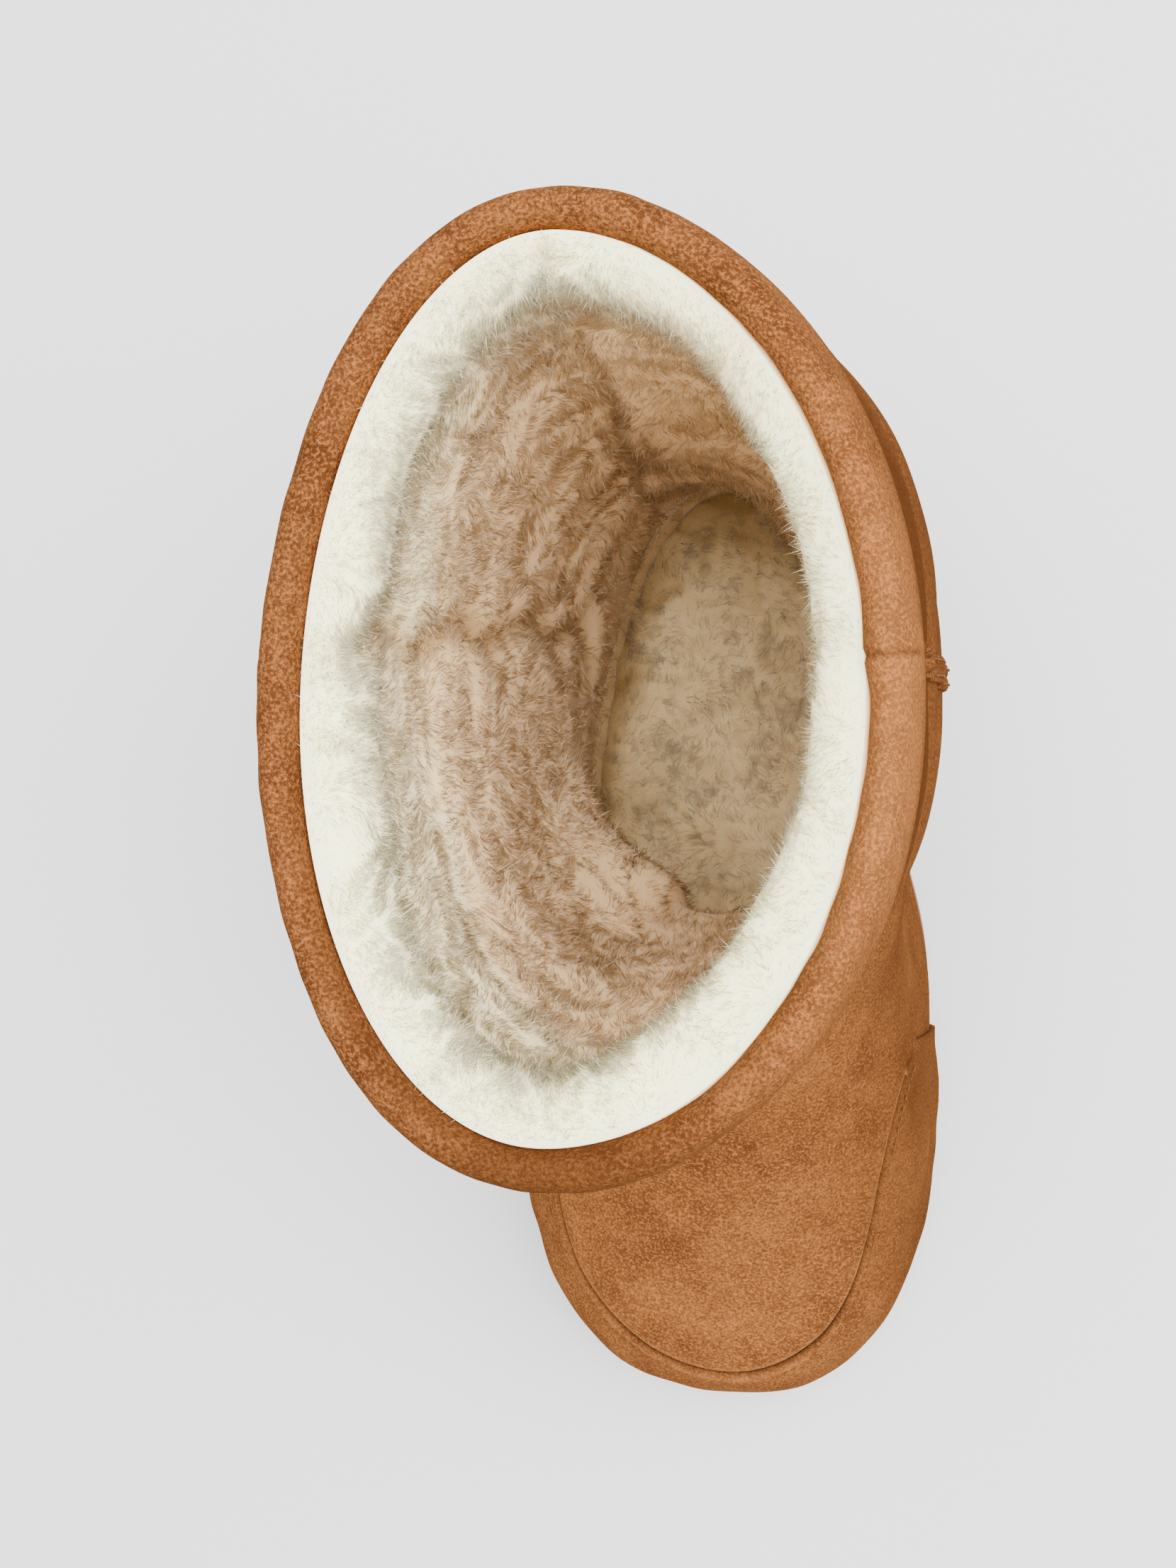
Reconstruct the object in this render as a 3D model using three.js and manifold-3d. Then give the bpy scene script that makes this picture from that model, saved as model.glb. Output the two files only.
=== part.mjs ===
// Tall sheepskin boot for the right foot, in millimetres, standing on its sole.
// +Z is up, the toe points along -Y, the heel along +Y and the big-toe side along +X.
// One function, skin(), gives the outer face of the upper; every other piece is worked out from it.

import * as THREE from 'three';
import { mergeVertices } from 'three/addons/utils/BufferGeometryUtils.js';
import Module from 'manifold-3d';

const wasm = await Module();
wasm.setup();

// Lengths and heights of the boot
const bootHeight = 320; // floor to the top of the collar
const instepHeight = 126; // floor to where the foot turns into the shaft
const toeReach = 173.5; // from the leg's axis forward to the toe
const heelReach = 81.5; // from the leg's axis back to the heel
const ballSetback = 95; // from the leg's axis forward to the ball of the foot

// Half widths of the foot at the ball, and of the shaft at the collar
const ballMedial = 50.8;
const ballLateral = 57.2;
const collarMedial = 54.5;
const collarLateral = 44.9;
const collarFront = 73.8;
const collarBack = 79.4;

// Curve of the last: hollow on the inner waist, heel and collar swung towards the big-toe side
const waistDepth = 8;
const waistSetback = 20;
const waistLength = 26;
const heelSwing = 4;
const collarSwing = 1.5;

// Sole
const heelThickness = 22;
const ballThickness = 14;
const toeSpring = 8;
const springStart = 118; // where the toe leaves the floor, forward of the leg's axis
const archRise = 3;
const archMiddle = 27;
const archHalfLength = 30;
const heelBevel = 2;
const heelBevelLength = 12;
const outlineHeight = 24; // the sole's outline is the skin's outline at this height
const soleLineHeight = 5.5; // groove around the side of the sole, above its bottom
const soleLineWidth = 1.6;
const soleLineDepth = 1.1;
const soleLineBevel = 0.4;
const soleEdgeBevel = 2.6;
const treadDepth = 2;
const treadWidth = 3.6;
const treadPitch = 10;
const treadWave = 3;
const treadMargin = 9; // plain border of the tread

// Walls and layers
const upperWall = 2.5;
const pileDepth = 11;
const lockDepth = 2.4;
const insoleThickness = 9;
const insoleEdge = 1.2; // the footbed's top edge is drawn in by this much
const clearance = 0.35;

// Overlays
const bindingThickness = 1.9;
const bindingCrown = 0.5;
const bindingOuterDrop = 14;
const bindingInnerDrop = 6;
const bandThickness = 1.2;
const bandClearance = 0.5;
const bandToeHeight = 53.6; // top edge of the toe band at the middle of the toe
const bandSetback = 77; // the toe band's ends, forward of the leg's axis
const seamWidth = 5;
const seamThickness = 1.5;
const seamStation = 8; // side seams run down this far behind the leg's axis

// Facets: columns around, and the rows of the wall as shares of the foot's and the shaft's rise
const around = 44;
const footRows = [0.11, 0.19, 0.26, 0.33, 0.40, 0.48, 0.57, 0.67, 0.78, 0.89];
const shaftRows = [0, 0.13, 0.30, 0.50, 0.72];
const bandColumns = 32;
const bandRows = 10;

const upperTop = bootHeight - clearance - bindingThickness - bindingCrown;
const shaftHeight = upperTop - instepHeight;

// Sections of the foot. Height is a share of instepHeight, front of toeReach, back of heelReach,
// wide (where the section is widest) of ballSetback, medial and lateral of the ball's half widths,
// waist of waistDepth and swing of heelSwing. The three round columns are superellipse powers
// for the front, the outer heel and the inner heel.
const sectionColumns = [
  'height', 'front', 'back', 'wide', 'medial', 'lateral',
  'roundFront', 'roundBack', 'roundInner', 'waist', 'swing',
];
const footSections = [
  [0.06, 0.925, 0.86, 1.00, 0.86, 0.84, 2.30, 2.60, 2.60, 1.00, 1.0],
  [0.14, 0.966, 0.92, 1.00, 0.92, 0.90, 2.30, 2.60, 2.60, 1.00, 1.0],
  [0.21, 0.991, 0.97, 1.00, 0.98, 0.97, 2.30, 2.60, 2.60, 1.00, 1.0],
  [0.30, 1.000, 1.00, 1.00, 1.00, 1.00, 2.30, 2.60, 2.60, 1.00, 1.0],
  [0.39, 0.978, 1.00, 0.96, 0.98, 0.97, 2.30, 2.50, 2.50, 0.88, 1.0],
  [0.45, 0.940, 0.99, 0.89, 0.96, 0.93, 2.25, 2.50, 2.50, 0.81, 1.0],
  [0.52, 0.865, 0.98, 0.77, 0.94, 0.88, 2.20, 2.40, 2.40, 0.69, 1.0],
  [0.60, 0.760, 0.96, 0.61, 0.93, 0.83, 2.20, 2.30, 2.30, 0.56, 1.0],
  [0.68, 0.652, 0.93, 0.44, 0.93, 0.79, 2.10, 2.20, 2.20, 0.38, 0.8],
  [0.77, 0.556, 0.91, 0.29, 0.94, 0.75, 2.10, 2.10, 2.10, 0.25, 0.5],
  [0.88, 0.472, 0.89, 0.16, 0.97, 0.72, 2.10, 2.10, 2.10, 0.12, 0.2],
];

// Sections of the shaft. Height is a share of what rises above instepHeight, front, back, medial
// and lateral are shares of the collar's sizes, and swing is a share of collarSwing.
const shaftSections = [
  [0.00, 0.949, 0.900, 0.06, 0.926, 0.909, 2.10, 2.10, 2.10, 0, 0.0],
  [0.10, 0.863, 0.900, 0.00, 0.963, 0.913, 2.10, 2.10, 2.15, 0, 0.0],
  [0.23, 0.834, 0.913, 0.00, 1.009, 0.935, 2.10, 2.10, 2.25, 0, 0.0],
  [0.39, 0.867, 0.932, 0.00, 1.051, 0.957, 2.10, 2.10, 2.40, 0, 0.0],
  [0.65, 0.940, 0.977, 0.00, 1.094, 0.991, 2.10, 2.10, 2.45, 0, 0.3],
  [0.85, 0.985, 0.998, 0.00, 1.065, 1.007, 2.10, 2.10, 2.20, 0, 0.7],
  [1.00, 1.000, 1.000, 0.00, 1.000, 1.000, 2.02, 1.97, 1.95, 0, 1.0],
];

const footSizes = [
  instepHeight, toeReach, heelReach, -ballSetback, ballMedial, ballLateral,
  1, 1, 1, waistDepth, heelSwing,
];
const shaftSizes = [
  shaftHeight, collarFront, collarBack, -ballSetback, collarMedial, collarLateral,
  1, 1, 1, waistDepth, collarSwing,
];

const inMillimetres = (row, sizes) => row.map((part, i) => part * sizes[i]);
const aboveInstep = ([height, ...rest]) => [height + instepHeight, ...rest];
const sections = [
  ...footSections.map((row) => inMillimetres(row, footSizes)),
  ...shaftSections.map((row) => aboveInstep(inMillimetres(row, shaftSizes))),
];

// Cubic between two values with the slopes given at both, at a share f of the way
function hermite(start, end, slopeStart, slopeEnd, f) {
  const bend = 2 * f ** 3 - 3 * f ** 2;
  const sloping = slopeStart * (f ** 3 - 2 * f ** 2 + f) + slopeEnd * (f ** 3 - f ** 2);
  return start * (bend + 1) - end * bend + sloping;
}

// Section at any height: each column is a cubic through the rows, with slopes from the rows beside them
function sectionAt(height) {
  const last = sections.length - 1;
  const z = THREE.MathUtils.clamp(height, sections[0][0], sections[last][0]);
  let i = 0;
  while (i < last - 1 && sections[i + 1][0] < z) i += 1;
  const low = sections[i];
  const high = sections[i + 1];
  const before = sections[Math.max(i - 1, 0)];
  const after = sections[Math.min(i + 2, last)];
  const span = high[0] - low[0];
  const f = (z - low[0]) / span;
  const section = { height: z };
  for (let c = 1; c < sectionColumns.length; c += 1) {
    const slopeLow = (high[c] - before[c]) / (high[0] - before[0]) * span;
    const slopeHigh = (after[c] - low[c]) / (after[0] - low[0]) * span;
    section[sectionColumns[c]] = hermite(low[c], high[c], slopeLow, slopeHigh, f);
  }
  return section;
}

// Point of the outer face at an angle (0 at the toe, a quarter turn on the big-toe side) and a height:
// quarter superellipses about the widest station, less the waist's hollow, plus the heel's swing
function face(angle, height) {
  const s = sectionAt(height);
  const forward = Math.cos(angle);
  const side = Math.sin(angle);
  const inner = side > 0 ? s.roundInner : s.roundBack;
  const power = 2 / (forward > 0 ? s.roundFront : inner);
  const reach = forward > 0 ? -s.front - s.wide : s.back - s.wide;
  const y = s.wide + reach * Math.abs(forward) ** power;
  const half = side > 0 ? s.medial : -s.lateral;
  const hollow = s.waist * Math.exp(-(((y + waistSetback) / waistLength) ** 2)) * Math.max(side, 0);
  const swing = s.swing * THREE.MathUtils.smoothstep(y, -ballSetback, ballSetback / 2);
  return new THREE.Vector3(half * Math.abs(side) ** power - hollow + swing, y, s.height);
}

// The same point moved square off the face: outwards by a positive amount, inwards by a negative one
function skin(angle, height, proud = 0) {
  const turn = 0.004;
  const rise = 0.5;
  const low = sections[0][0] + rise;
  const middle = THREE.MathUtils.clamp(height, low, upperTop - rise);
  const along = face(angle + turn, middle).sub(face(angle - turn, middle));
  const upward = face(angle, middle + rise).sub(face(angle, middle - rise));
  const normal = along.cross(upward).normalize();
  return face(angle, height).addScaledVector(normal, proud);
}

// Height of the sole's bottom and top at a station along the foot
function springLift(y) {
  const beyond = Math.max(0, (-y - springStart) / (toeReach - springStart));
  return toeSpring * beyond ** 1.8;
}

function soleBottom(y) {
  const inArch = Math.abs(y + archMiddle) < archHalfLength;
  const arch = inArch ? archRise * Math.cos((y + archMiddle) / archHalfLength * Math.PI / 2) ** 2 : 0;
  const bevel = heelBevel * Math.max(0, (y - heelReach + heelBevelLength) / heelBevelLength) ** 2;
  return springLift(y) + arch + bevel;
}

function soleTop(y) {
  const heelShare = THREE.MathUtils.smoothstep(y, -ballSetback, heelReach / 2);
  return ballThickness + (heelThickness - ballThickness) * heelShare + springLift(y);
}

// Point of the face moved square off it by a given amount, whose height is what levelOf says for its
// own station: the height is corrected until it agrees
function skinAt(angle, proud, levelOf) {
  let height = levelOf(0);
  let point = skin(angle, height, proud);
  for (let pass = 0; pass < 12; pass += 1) {
    height += levelOf(point.y) - point.z;
    point = skin(angle, height, proud);
  }
  return point;
}

// Angle at which the face passes a station along the foot, on the big-toe side (1) or the other (-1)
function angleAt(sign, station, height) {
  let near = 0;
  let far = Math.PI;
  for (let pass = 0; pass < 40; pass += 1) {
    const middle = (near + far) / 2;
    if (face(sign * middle, height).y < station) near = middle;
    else far = middle;
  }
  return sign * near;
}

const overSole = (above) => (y) => soleTop(y) + above;
const atHeight = (height) => () => height;

// Closed solid from a row of equal loops of points. A ring of loops joins its last to its first;
// an open row gets two ends, whose strips join each point to the one across. A wall's loops run up
// one side and down the other, so its second half is split along the other diagonal to match.
function loft(loops, ring, wall) {
  const n = loops[0].length;
  const positions = loops.flat().flatMap((point) => point.toArray());
  const faces = [];
  const quad = (a, b, c, d) => faces.push(a, b, c, a, c, d);
  const steps = ring ? loops.length : loops.length - 1;
  for (let j = 0; j < steps; j += 1) {
    const here = j * n;
    const next = ((j + 1) % loops.length) * n;
    for (let i = 0; i < n; i += 1) {
      const k = (i + 1) % n;
      if (wall && i >= n / 2) quad(here + k, next + k, next + i, here + i);
      else quad(here + i, here + k, next + k, next + i);
    }
  }
  const end = (loops.length - 1) * n;
  for (let i = 0; !ring && i < n / 2 - 1; i += 1) {
    quad(n - 1 - i, n - 2 - i, i + 1, i);
    quad(end + i, end + i + 1, end + n - 2 - i, end + n - 1 - i);
  }
  const geometry = new THREE.BufferGeometry();
  geometry.setAttribute('position', new THREE.Float32BufferAttribute(positions, 3));
  geometry.setIndex(faces);
  return facingOut(geometry);
}

// Turns every face round if the solid's signed volume is negative
function facingOut(geometry) {
  const index = geometry.getIndex();
  const points = geometry.getAttribute('position');
  const corner = (i) => new THREE.Vector3().fromBufferAttribute(points, index.getX(i));
  let volume = 0;
  for (let i = 0; i < index.count; i += 3) volume += corner(i).dot(corner(i + 1).cross(corner(i + 2)));
  if (volume < 0) geometry.setIndex([...index.array].reverse());
  return geometry;
}

function toSolid(geometry) {
  const bare = geometry.clone();
  bare.deleteAttribute('normal');
  bare.deleteAttribute('uv');
  const merged = mergeVertices(bare, 1e-4);
  const vertProperties = new Float32Array(merged.getAttribute('position').array);
  const triVerts = new Uint32Array(merged.getIndex().array);
  return new wasm.Manifold(new wasm.Mesh({ numProp: 3, vertProperties, triVerts }));
}

function fromSolid(solid) {
  const mesh = solid.getMesh();
  const geometry = new THREE.BufferGeometry();
  geometry.setAttribute('position', new THREE.Float32BufferAttribute(mesh.vertProperties, 3));
  geometry.setIndex([...mesh.triVerts]);
  return geometry;
}

const share = (i, count) => i / (count - 1);
const angles = Array.from({ length: around }, (_, j) => (j + 0.5) / around * 2 * Math.PI);

// Heights of the wall's rows at an angle: the feather edge on top of the sole, the insole's top,
// the foot, the shaft, the end of the binding's leg and the collar
function wallHeights(angle) {
  const feather = skinAt(angle, 0, overSole(clearance)).z;
  const footbed = feather + insoleThickness;
  const foot = footRows.map((part) => footbed + (instepHeight - footbed) * part);
  const shaft = shaftRows.map((part) => instepHeight + shaftHeight * part);
  return [feather, footbed, ...foot, ...shaft, upperTop - bindingOuterDrop, upperTop];
}

// Upper: one wall of even thickness, open underneath and at the collar
function makeUpper() {
  return loft(angles.map((angle) => {
    const heights = wallHeights(angle);
    const inner = heights.map((height) => skinAt(angle, -upperWall, atHeight(height)));
    inner[0] = skinAt(angle, -upperWall, overSole(clearance));
    return [...heights.map((height) => skin(angle, height)), ...inner.reverse()];
  }), true, true);
}

// Outsole: rings from the tread up to its top edge. Columns: how far it stands out from the outline,
// and its rise from the sole's bottom (0) or its drop from the top (1), which the last column says.
// The groove around the side is one of its steps.
function makeOutsole() {
  const lineTop = soleLineHeight + soleLineWidth;
  const rings = [
    [-soleEdgeBevel, 0, 0],
    [-0.3 * soleEdgeBevel, 0.55 * soleEdgeBevel, 0],
    [0, 1.2 * soleEdgeBevel, 0],
    [0, soleLineHeight - soleLineBevel, 0],
    [-soleLineDepth, soleLineHeight, 0],
    [-soleLineDepth, lineTop, 0],
    [0, lineTop + soleLineBevel, 0],
    [soleLineBevel, 0.45 * ballThickness, 1],
    [0.5 * soleLineBevel, 0.1 * ballThickness, 1],
    [-2 * soleLineBevel, 0, 1],
  ];
  const loops = rings.map(([proud, rise, fromTop]) => angles.map((angle) => {
    const point = skin(angle, outlineHeight, proud);
    point.z = fromTop ? soleTop(point.y) - rise : soleBottom(point.y) + rise;
    return point;
  }));
  let solid = toSolid(loft(loops, false));
  for (const groove of treadGrooves()) solid = solid.subtract(toSolid(groove));
  return fromSolid(solid);
}

// Tread: shallow waved grooves across the forefoot and the heel, inside a plain border
function treadGrooves() {
  const grooves = [];
  const heelEnd = heelReach - heelBevelLength - treadMargin;
  for (let y = -springStart; y < -archMiddle - archHalfLength; y += treadPitch) grooves.push(waveGroove(y));
  for (let y = 2 * treadPitch; y < heelEnd; y += treadPitch) grooves.push(waveGroove(y));
  return grooves;
}

function waveGroove(y) {
  const left = face(angleAt(-1, y, outlineHeight), outlineHeight).x + treadMargin;
  const right = face(angleAt(1, y, outlineHeight), outlineHeight).x - treadMargin;
  const waves = 6;
  const edge = Array.from({ length: waves + 1 }, (_, i) => [
    left + (right - left) * i / waves,
    y + (i % 2 ? treadWave / 2 : -treadWave / 2),
  ]);
  const shape = new THREE.Shape();
  edge.forEach(([x, v], i) => (i ? shape.lineTo(x, v) : shape.moveTo(x, v)));
  [...edge].reverse().forEach(([x, v]) => shape.lineTo(x, v + treadWidth));
  const groove = new THREE.ExtrudeGeometry(shape, { depth: treadDepth * 2, bevelEnabled: false });
  return groove.translate(0, 0, -treadDepth);
}

// Insole: fleece footbed on top of the sole, inside the upper's wall. Rings: share of its
// thickness, and how far they are drawn in.
function makeInsole() {
  const rings = [[0, 0], [0.85, 0], [1, insoleEdge]];
  return loft(rings.map(([rise, inset]) => angles.map((angle) => (
    skinAt(angle, -upperWall - clearance - inset, overSole(clearance + rise * insoleThickness))))), false);
}

// Fleece lining: deep pile from the insole to the collar, with a lock at every other corner of its
// front that lies flatter towards the toe and the heel. Near the collar its back steps in behind
// the binding's inner leg, and its front rounds over.
function makeLining() {
  const top = upperTop - clearance;
  const legEnd = upperTop - bindingInnerDrop - clearance;
  const onInsole = overSole(2 * clearance + insoleThickness);
  const backOf = (height) => upperWall + clearance + (height >= legEnd ? bindingThickness + clearance : 0);
  return loft(angles.map((angle, j) => {
    const low = wallHeights(angle).slice(2, -1);
    const heights = [...low, legEnd - bindingThickness, legEnd, (legEnd + top) / 2, top];
    const back = heights.map((height) => skinAt(angle, -backOf(height), atHeight(height)));
    const front = heights.map((height, i) => {
      const shoulder = Math.sqrt(Math.min(1, 0.07 + (top - height) / bindingOuterDrop));
      const lock = (i + j) % 2 === 0 && height < legEnd ? lockDepth * Math.abs(Math.sin(angle)) : 0;
      return skinAt(angle, -backOf(height) - pileDepth * shoulder - lock, atHeight(height));
    });
    back.unshift(skinAt(angle, -upperWall - clearance, onInsole));
    front.unshift(skinAt(angle, -upperWall - clearance - pileDepth, onInsole));
    return [...back, ...front.reverse()];
  }), true, true);
}

// Collar binding: a rounded strip folded over the wall's top edge. Its section is given as the
// distance out from the skin and the height above the wall's edge.
function makeBinding() {
  const inside = upperWall + clearance;
  const t = bindingThickness;
  const section = [
    [clearance, -bindingOuterDrop], [clearance + 0.65 * t, 0.2 * t - bindingOuterDrop],
    [clearance + t, 0.65 * -bindingOuterDrop], [clearance + t, -0.8 * t],
    [clearance + 0.55 * t, 0.75 * t], [-upperWall / 2, clearance + t + bindingCrown],
    [-inside - 0.55 * t, 0.75 * t], [-inside - t, -0.8 * t],
    [-inside - 0.8 * t, -bindingInnerDrop], [-inside, -bindingInnerDrop],
    [-inside, clearance], [clearance, clearance],
  ];
  return loft(angles.map((angle) => section.map(([out, up]) => {
    const point = skinAt(angle, out, atHeight(upperTop + Math.min(up, 0)));
    point.z = upperTop + up;
    return point;
  })), true);
}

// Toe band: a strip around the toe from the sole up to the toe seam, with both ends square to the
// sole. Columns: way from the toe's middle to the inner end (1) or the outer end (-1), and the
// seam's height there as a share of bandToeHeight.
const bandSections = [
  [-1, 1.18], [-0.94, 1.32], [-0.86, 1.35], [-0.74, 1.30], [-0.62, 1.17], [-0.5, 1.10],
  [-0.3, 1.075], [-0.1, 1.02], [0, 1], [0.1, 1.02], [0.3, 1.065], [0.46, 1.15],
  [0.54, 1.22], [0.64, 1.33], [0.77, 1.395], [0.87, 1.407], [0.94, 1.38], [1, 1.20],
];

function bandTop(way) {
  const last = bandSections.length - 1;
  let i = 0;
  while (i < last - 1 && bandSections[i + 1][0] < way) i += 1;
  const [startWay, start] = bandSections[i];
  const [endWay, end] = bandSections[i + 1];
  const slope = (a, b) => (b[1] - a[1]) / (b[0] - a[0]) * (endWay - startWay);
  const slopeStart = slope(bandSections[Math.max(i - 1, 0)], bandSections[i + 1]);
  const slopeEnd = slope(bandSections[i], bandSections[Math.min(i + 2, last)]);
  return bandToeHeight * hermite(start, end, slopeStart, slopeEnd, (way - startWay) / (endWay - startWay));
}

function makeToeBand() {
  return loft(Array.from({ length: bandColumns }, (_, j) => {
    const way = 2 * share(j, bandColumns) - 1;
    const angleOf = (height) => Math.abs(way) * angleAt(Math.sign(way), -bandSetback, height);
    const bottom = skinAt(angleOf(heelThickness), 0, overSole(bandClearance)).z;
    const heights = Array.from({ length: bandRows - 1 }, (_, i) => (
      bottom + (bandTop(way) - bottom) * share(i + 1, bandRows) ** 0.8));
    const strip = (proud) => [
      skinAt(angleOf(heelThickness), proud, overSole(bandClearance)),
      ...heights.map((height) => skinAt(angleOf(height), proud, atHeight(height))),
    ];
    return [...strip(bandClearance + bandThickness), ...strip(bandClearance).reverse()];
  }), false, true);
}

// Side seam: a raised strip down the side of the boot, from the binding to the sole. Across it,
// each point has a share of half the width and a share of the thickness.
function makeSideSeam(sign) {
  const across = [[-1, 0.3], [-0.45, 1], [0.45, 1], [1, 0.3]];
  const middle = angleAt(sign, seamStation, heelThickness * 2);
  const top = upperTop - bindingOuterDrop - clearance;
  const heights = [...wallHeights(middle).slice(1, -2), top];
  const stripAt = (levelOf, height) => {
    const columns = across.map(([aside]) => angleAt(sign, seamStation + aside * seamWidth / 2, height));
    const strip = (proud) => columns.map((angle, k) => (
      skinAt(angle, clearance + proud * across[k][1] * seamThickness, levelOf)));
    return [...strip(1), ...strip(0).reverse()];
  };
  const bottom = stripAt(overSole(clearance), heelThickness);
  return loft([bottom, ...heights.map((height) => stripAt(atHeight(height), height))], false);
}

const suede = { color: 0xb0693c, roughness: 0.95, metalness: 0 };
const bindingSuede = { color: 0xa9632f, roughness: 0.9, metalness: 0 };
const wool = { color: 0xe9e4d3, roughness: 1, metalness: 0 };
const woolFootbed = { color: 0xb9a37e, roughness: 1, metalness: 0 };
const soleRubber = { color: 0xa27a4c, roughness: 0.8, metalness: 0 };

const pieces = [
  ['outsole', makeOutsole(), soleRubber],
  ['insole', makeInsole(), woolFootbed],
  ['upper', makeUpper(), suede],
  ['fleece_lining', makeLining(), wool],
  ['collar_binding', makeBinding(), bindingSuede],
  ['toe_band', makeToeBand(), suede],
  ['side_seam_medial', makeSideSeam(1), bindingSuede],
  ['side_seam_lateral', makeSideSeam(-1), bindingSuede],
];

// The origin is on the floor, under the middle of the boot's box
const box = new THREE.Box3();
for (const [, geometry] of pieces) {
  geometry.computeBoundingBox();
  box.union(geometry.boundingBox);
}
const middle = box.getCenter(new THREE.Vector3());

const group = new THREE.Group();
for (const [name, geometry, finish] of pieces) {
  geometry.translate(-middle.x, -middle.y, -box.min.z);
  geometry.computeVertexNormals();
  const mesh = new THREE.Mesh(geometry, new THREE.MeshStandardMaterial(finish));
  mesh.name = name;
  group.add(mesh);
}

export default group;
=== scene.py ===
"""Looks of a tall sheepskin boot for the right foot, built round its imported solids.

Sizes are in millimetres until a mesh is made. The leg's axis is at x = 0, y = 0, the toe points
along -y, the big-toe side is +x and the floor is z = 0. One function, skin(), gives the outer face
of the boot at an angle (0 at the toe, a quarter turn on the big-toe side) and a height.
"""

import math

import bpy
import numpy as np
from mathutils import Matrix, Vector


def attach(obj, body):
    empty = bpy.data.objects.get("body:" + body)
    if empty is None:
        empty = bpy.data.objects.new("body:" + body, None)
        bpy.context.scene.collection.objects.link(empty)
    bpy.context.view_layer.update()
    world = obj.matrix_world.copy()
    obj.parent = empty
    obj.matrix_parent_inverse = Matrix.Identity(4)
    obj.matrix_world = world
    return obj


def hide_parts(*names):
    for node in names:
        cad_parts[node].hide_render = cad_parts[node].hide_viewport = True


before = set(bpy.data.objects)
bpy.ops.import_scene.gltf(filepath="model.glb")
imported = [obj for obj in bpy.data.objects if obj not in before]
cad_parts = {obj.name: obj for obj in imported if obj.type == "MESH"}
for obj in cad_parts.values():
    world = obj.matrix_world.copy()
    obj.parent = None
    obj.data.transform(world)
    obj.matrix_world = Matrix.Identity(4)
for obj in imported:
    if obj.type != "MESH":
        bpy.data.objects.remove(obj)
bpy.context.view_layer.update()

# ---- Sizes of the boot ----

BOX_MIDDLE = np.array([1.4599, -46.8712, 0.0])
BOOT_HEIGHT = 320.0
INSTEP_HEIGHT = 126.0
TOE_REACH = 173.5
HEEL_REACH = 81.5
BALL_SETBACK = 95.0
BALL_MEDIAL, BALL_LATERAL = 50.8, 57.2
COLLAR_MEDIAL, COLLAR_LATERAL = 54.5, 44.9
COLLAR_FRONT, COLLAR_BACK = 73.8, 79.4
WAIST_DEPTH, WAIST_SETBACK, WAIST_LENGTH = 8.0, 20.0, 26.0
HEEL_SWING, COLLAR_SWING = 4.0, 1.5
HEEL_THICKNESS, BALL_THICKNESS = 22.0, 14.0
TOE_SPRING, SPRING_START = 8.0, 118.0
ARCH_RISE, ARCH_MIDDLE, ARCH_HALF_LENGTH = 3.0, 27.0, 30.0
HEEL_BEVEL, HEEL_BEVEL_LENGTH = 2.0, 12.0
OUTLINE_HEIGHT = 24.0
SOLE_LINE_HEIGHT, SOLE_LINE_WIDTH, SOLE_LINE_DEPTH = 5.5, 1.6, 1.1
SOLE_EDGE_BEVEL = 2.6
TREAD_DEPTH, TREAD_WIDTH, TREAD_PITCH, TREAD_WAVE, TREAD_MARGIN = 2.0, 3.6, 10.0, 3.0, 9.0
UPPER_WALL = 2.5
PILE_DEPTH = 11.0
INSOLE_THICKNESS = 9.0
CLEARANCE = 0.35
BINDING_THICKNESS, BINDING_CROWN = 1.9, 0.5
BINDING_OUTER_DROP, BINDING_INNER_DROP = 14.0, 6.0
BAND_THICKNESS, BAND_CLEARANCE = 1.2, 0.5
BAND_TOE_HEIGHT, BAND_SETBACK = 53.6, 77.0
SEAM_WIDTH, SEAM_THICKNESS, SEAM_STATION = 5.0, 1.5, 8.0
STRIP_SUNK = 0.5
STITCH_RADIUS = 0.2
UPPER_TOP = BOOT_HEIGHT - CLEARANCE - BINDING_THICKNESS - BINDING_CROWN

# Sections of the foot and the shaft, as shares of the sizes above. Columns: height, front, back,
# wide, medial, lateral, the superellipse powers of the front, the outer and the inner heel, waist
# and swing.
FOOT_SIZES = [INSTEP_HEIGHT, TOE_REACH, HEEL_REACH, -BALL_SETBACK, BALL_MEDIAL, BALL_LATERAL,
              1, 1, 1, WAIST_DEPTH, HEEL_SWING]
FOOT_SECTIONS = [
    [0.06, 0.925, 0.86, 1.00, 0.86, 0.84, 2.30, 2.60, 2.60, 1.00, 1.0],
    [0.14, 0.966, 0.92, 1.00, 0.92, 0.90, 2.30, 2.60, 2.60, 1.00, 1.0],
    [0.21, 0.991, 0.97, 1.00, 0.98, 0.97, 2.30, 2.60, 2.60, 1.00, 1.0],
    [0.30, 1.000, 1.00, 1.00, 1.00, 1.00, 2.30, 2.60, 2.60, 1.00, 1.0],
    [0.39, 0.978, 1.00, 0.96, 0.98, 0.97, 2.30, 2.50, 2.50, 0.88, 1.0],
    [0.45, 0.940, 0.99, 0.89, 0.96, 0.93, 2.25, 2.50, 2.50, 0.81, 1.0],
    [0.52, 0.865, 0.98, 0.77, 0.94, 0.88, 2.20, 2.40, 2.40, 0.69, 1.0],
    [0.60, 0.760, 0.96, 0.61, 0.93, 0.83, 2.20, 2.30, 2.30, 0.56, 1.0],
    [0.68, 0.652, 0.93, 0.44, 0.93, 0.79, 2.10, 2.20, 2.20, 0.38, 0.8],
    [0.77, 0.556, 0.91, 0.29, 0.94, 0.75, 2.10, 2.10, 2.10, 0.25, 0.5],
    [0.88, 0.472, 0.89, 0.16, 0.97, 0.72, 2.10, 2.10, 2.10, 0.12, 0.2],
]
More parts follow.
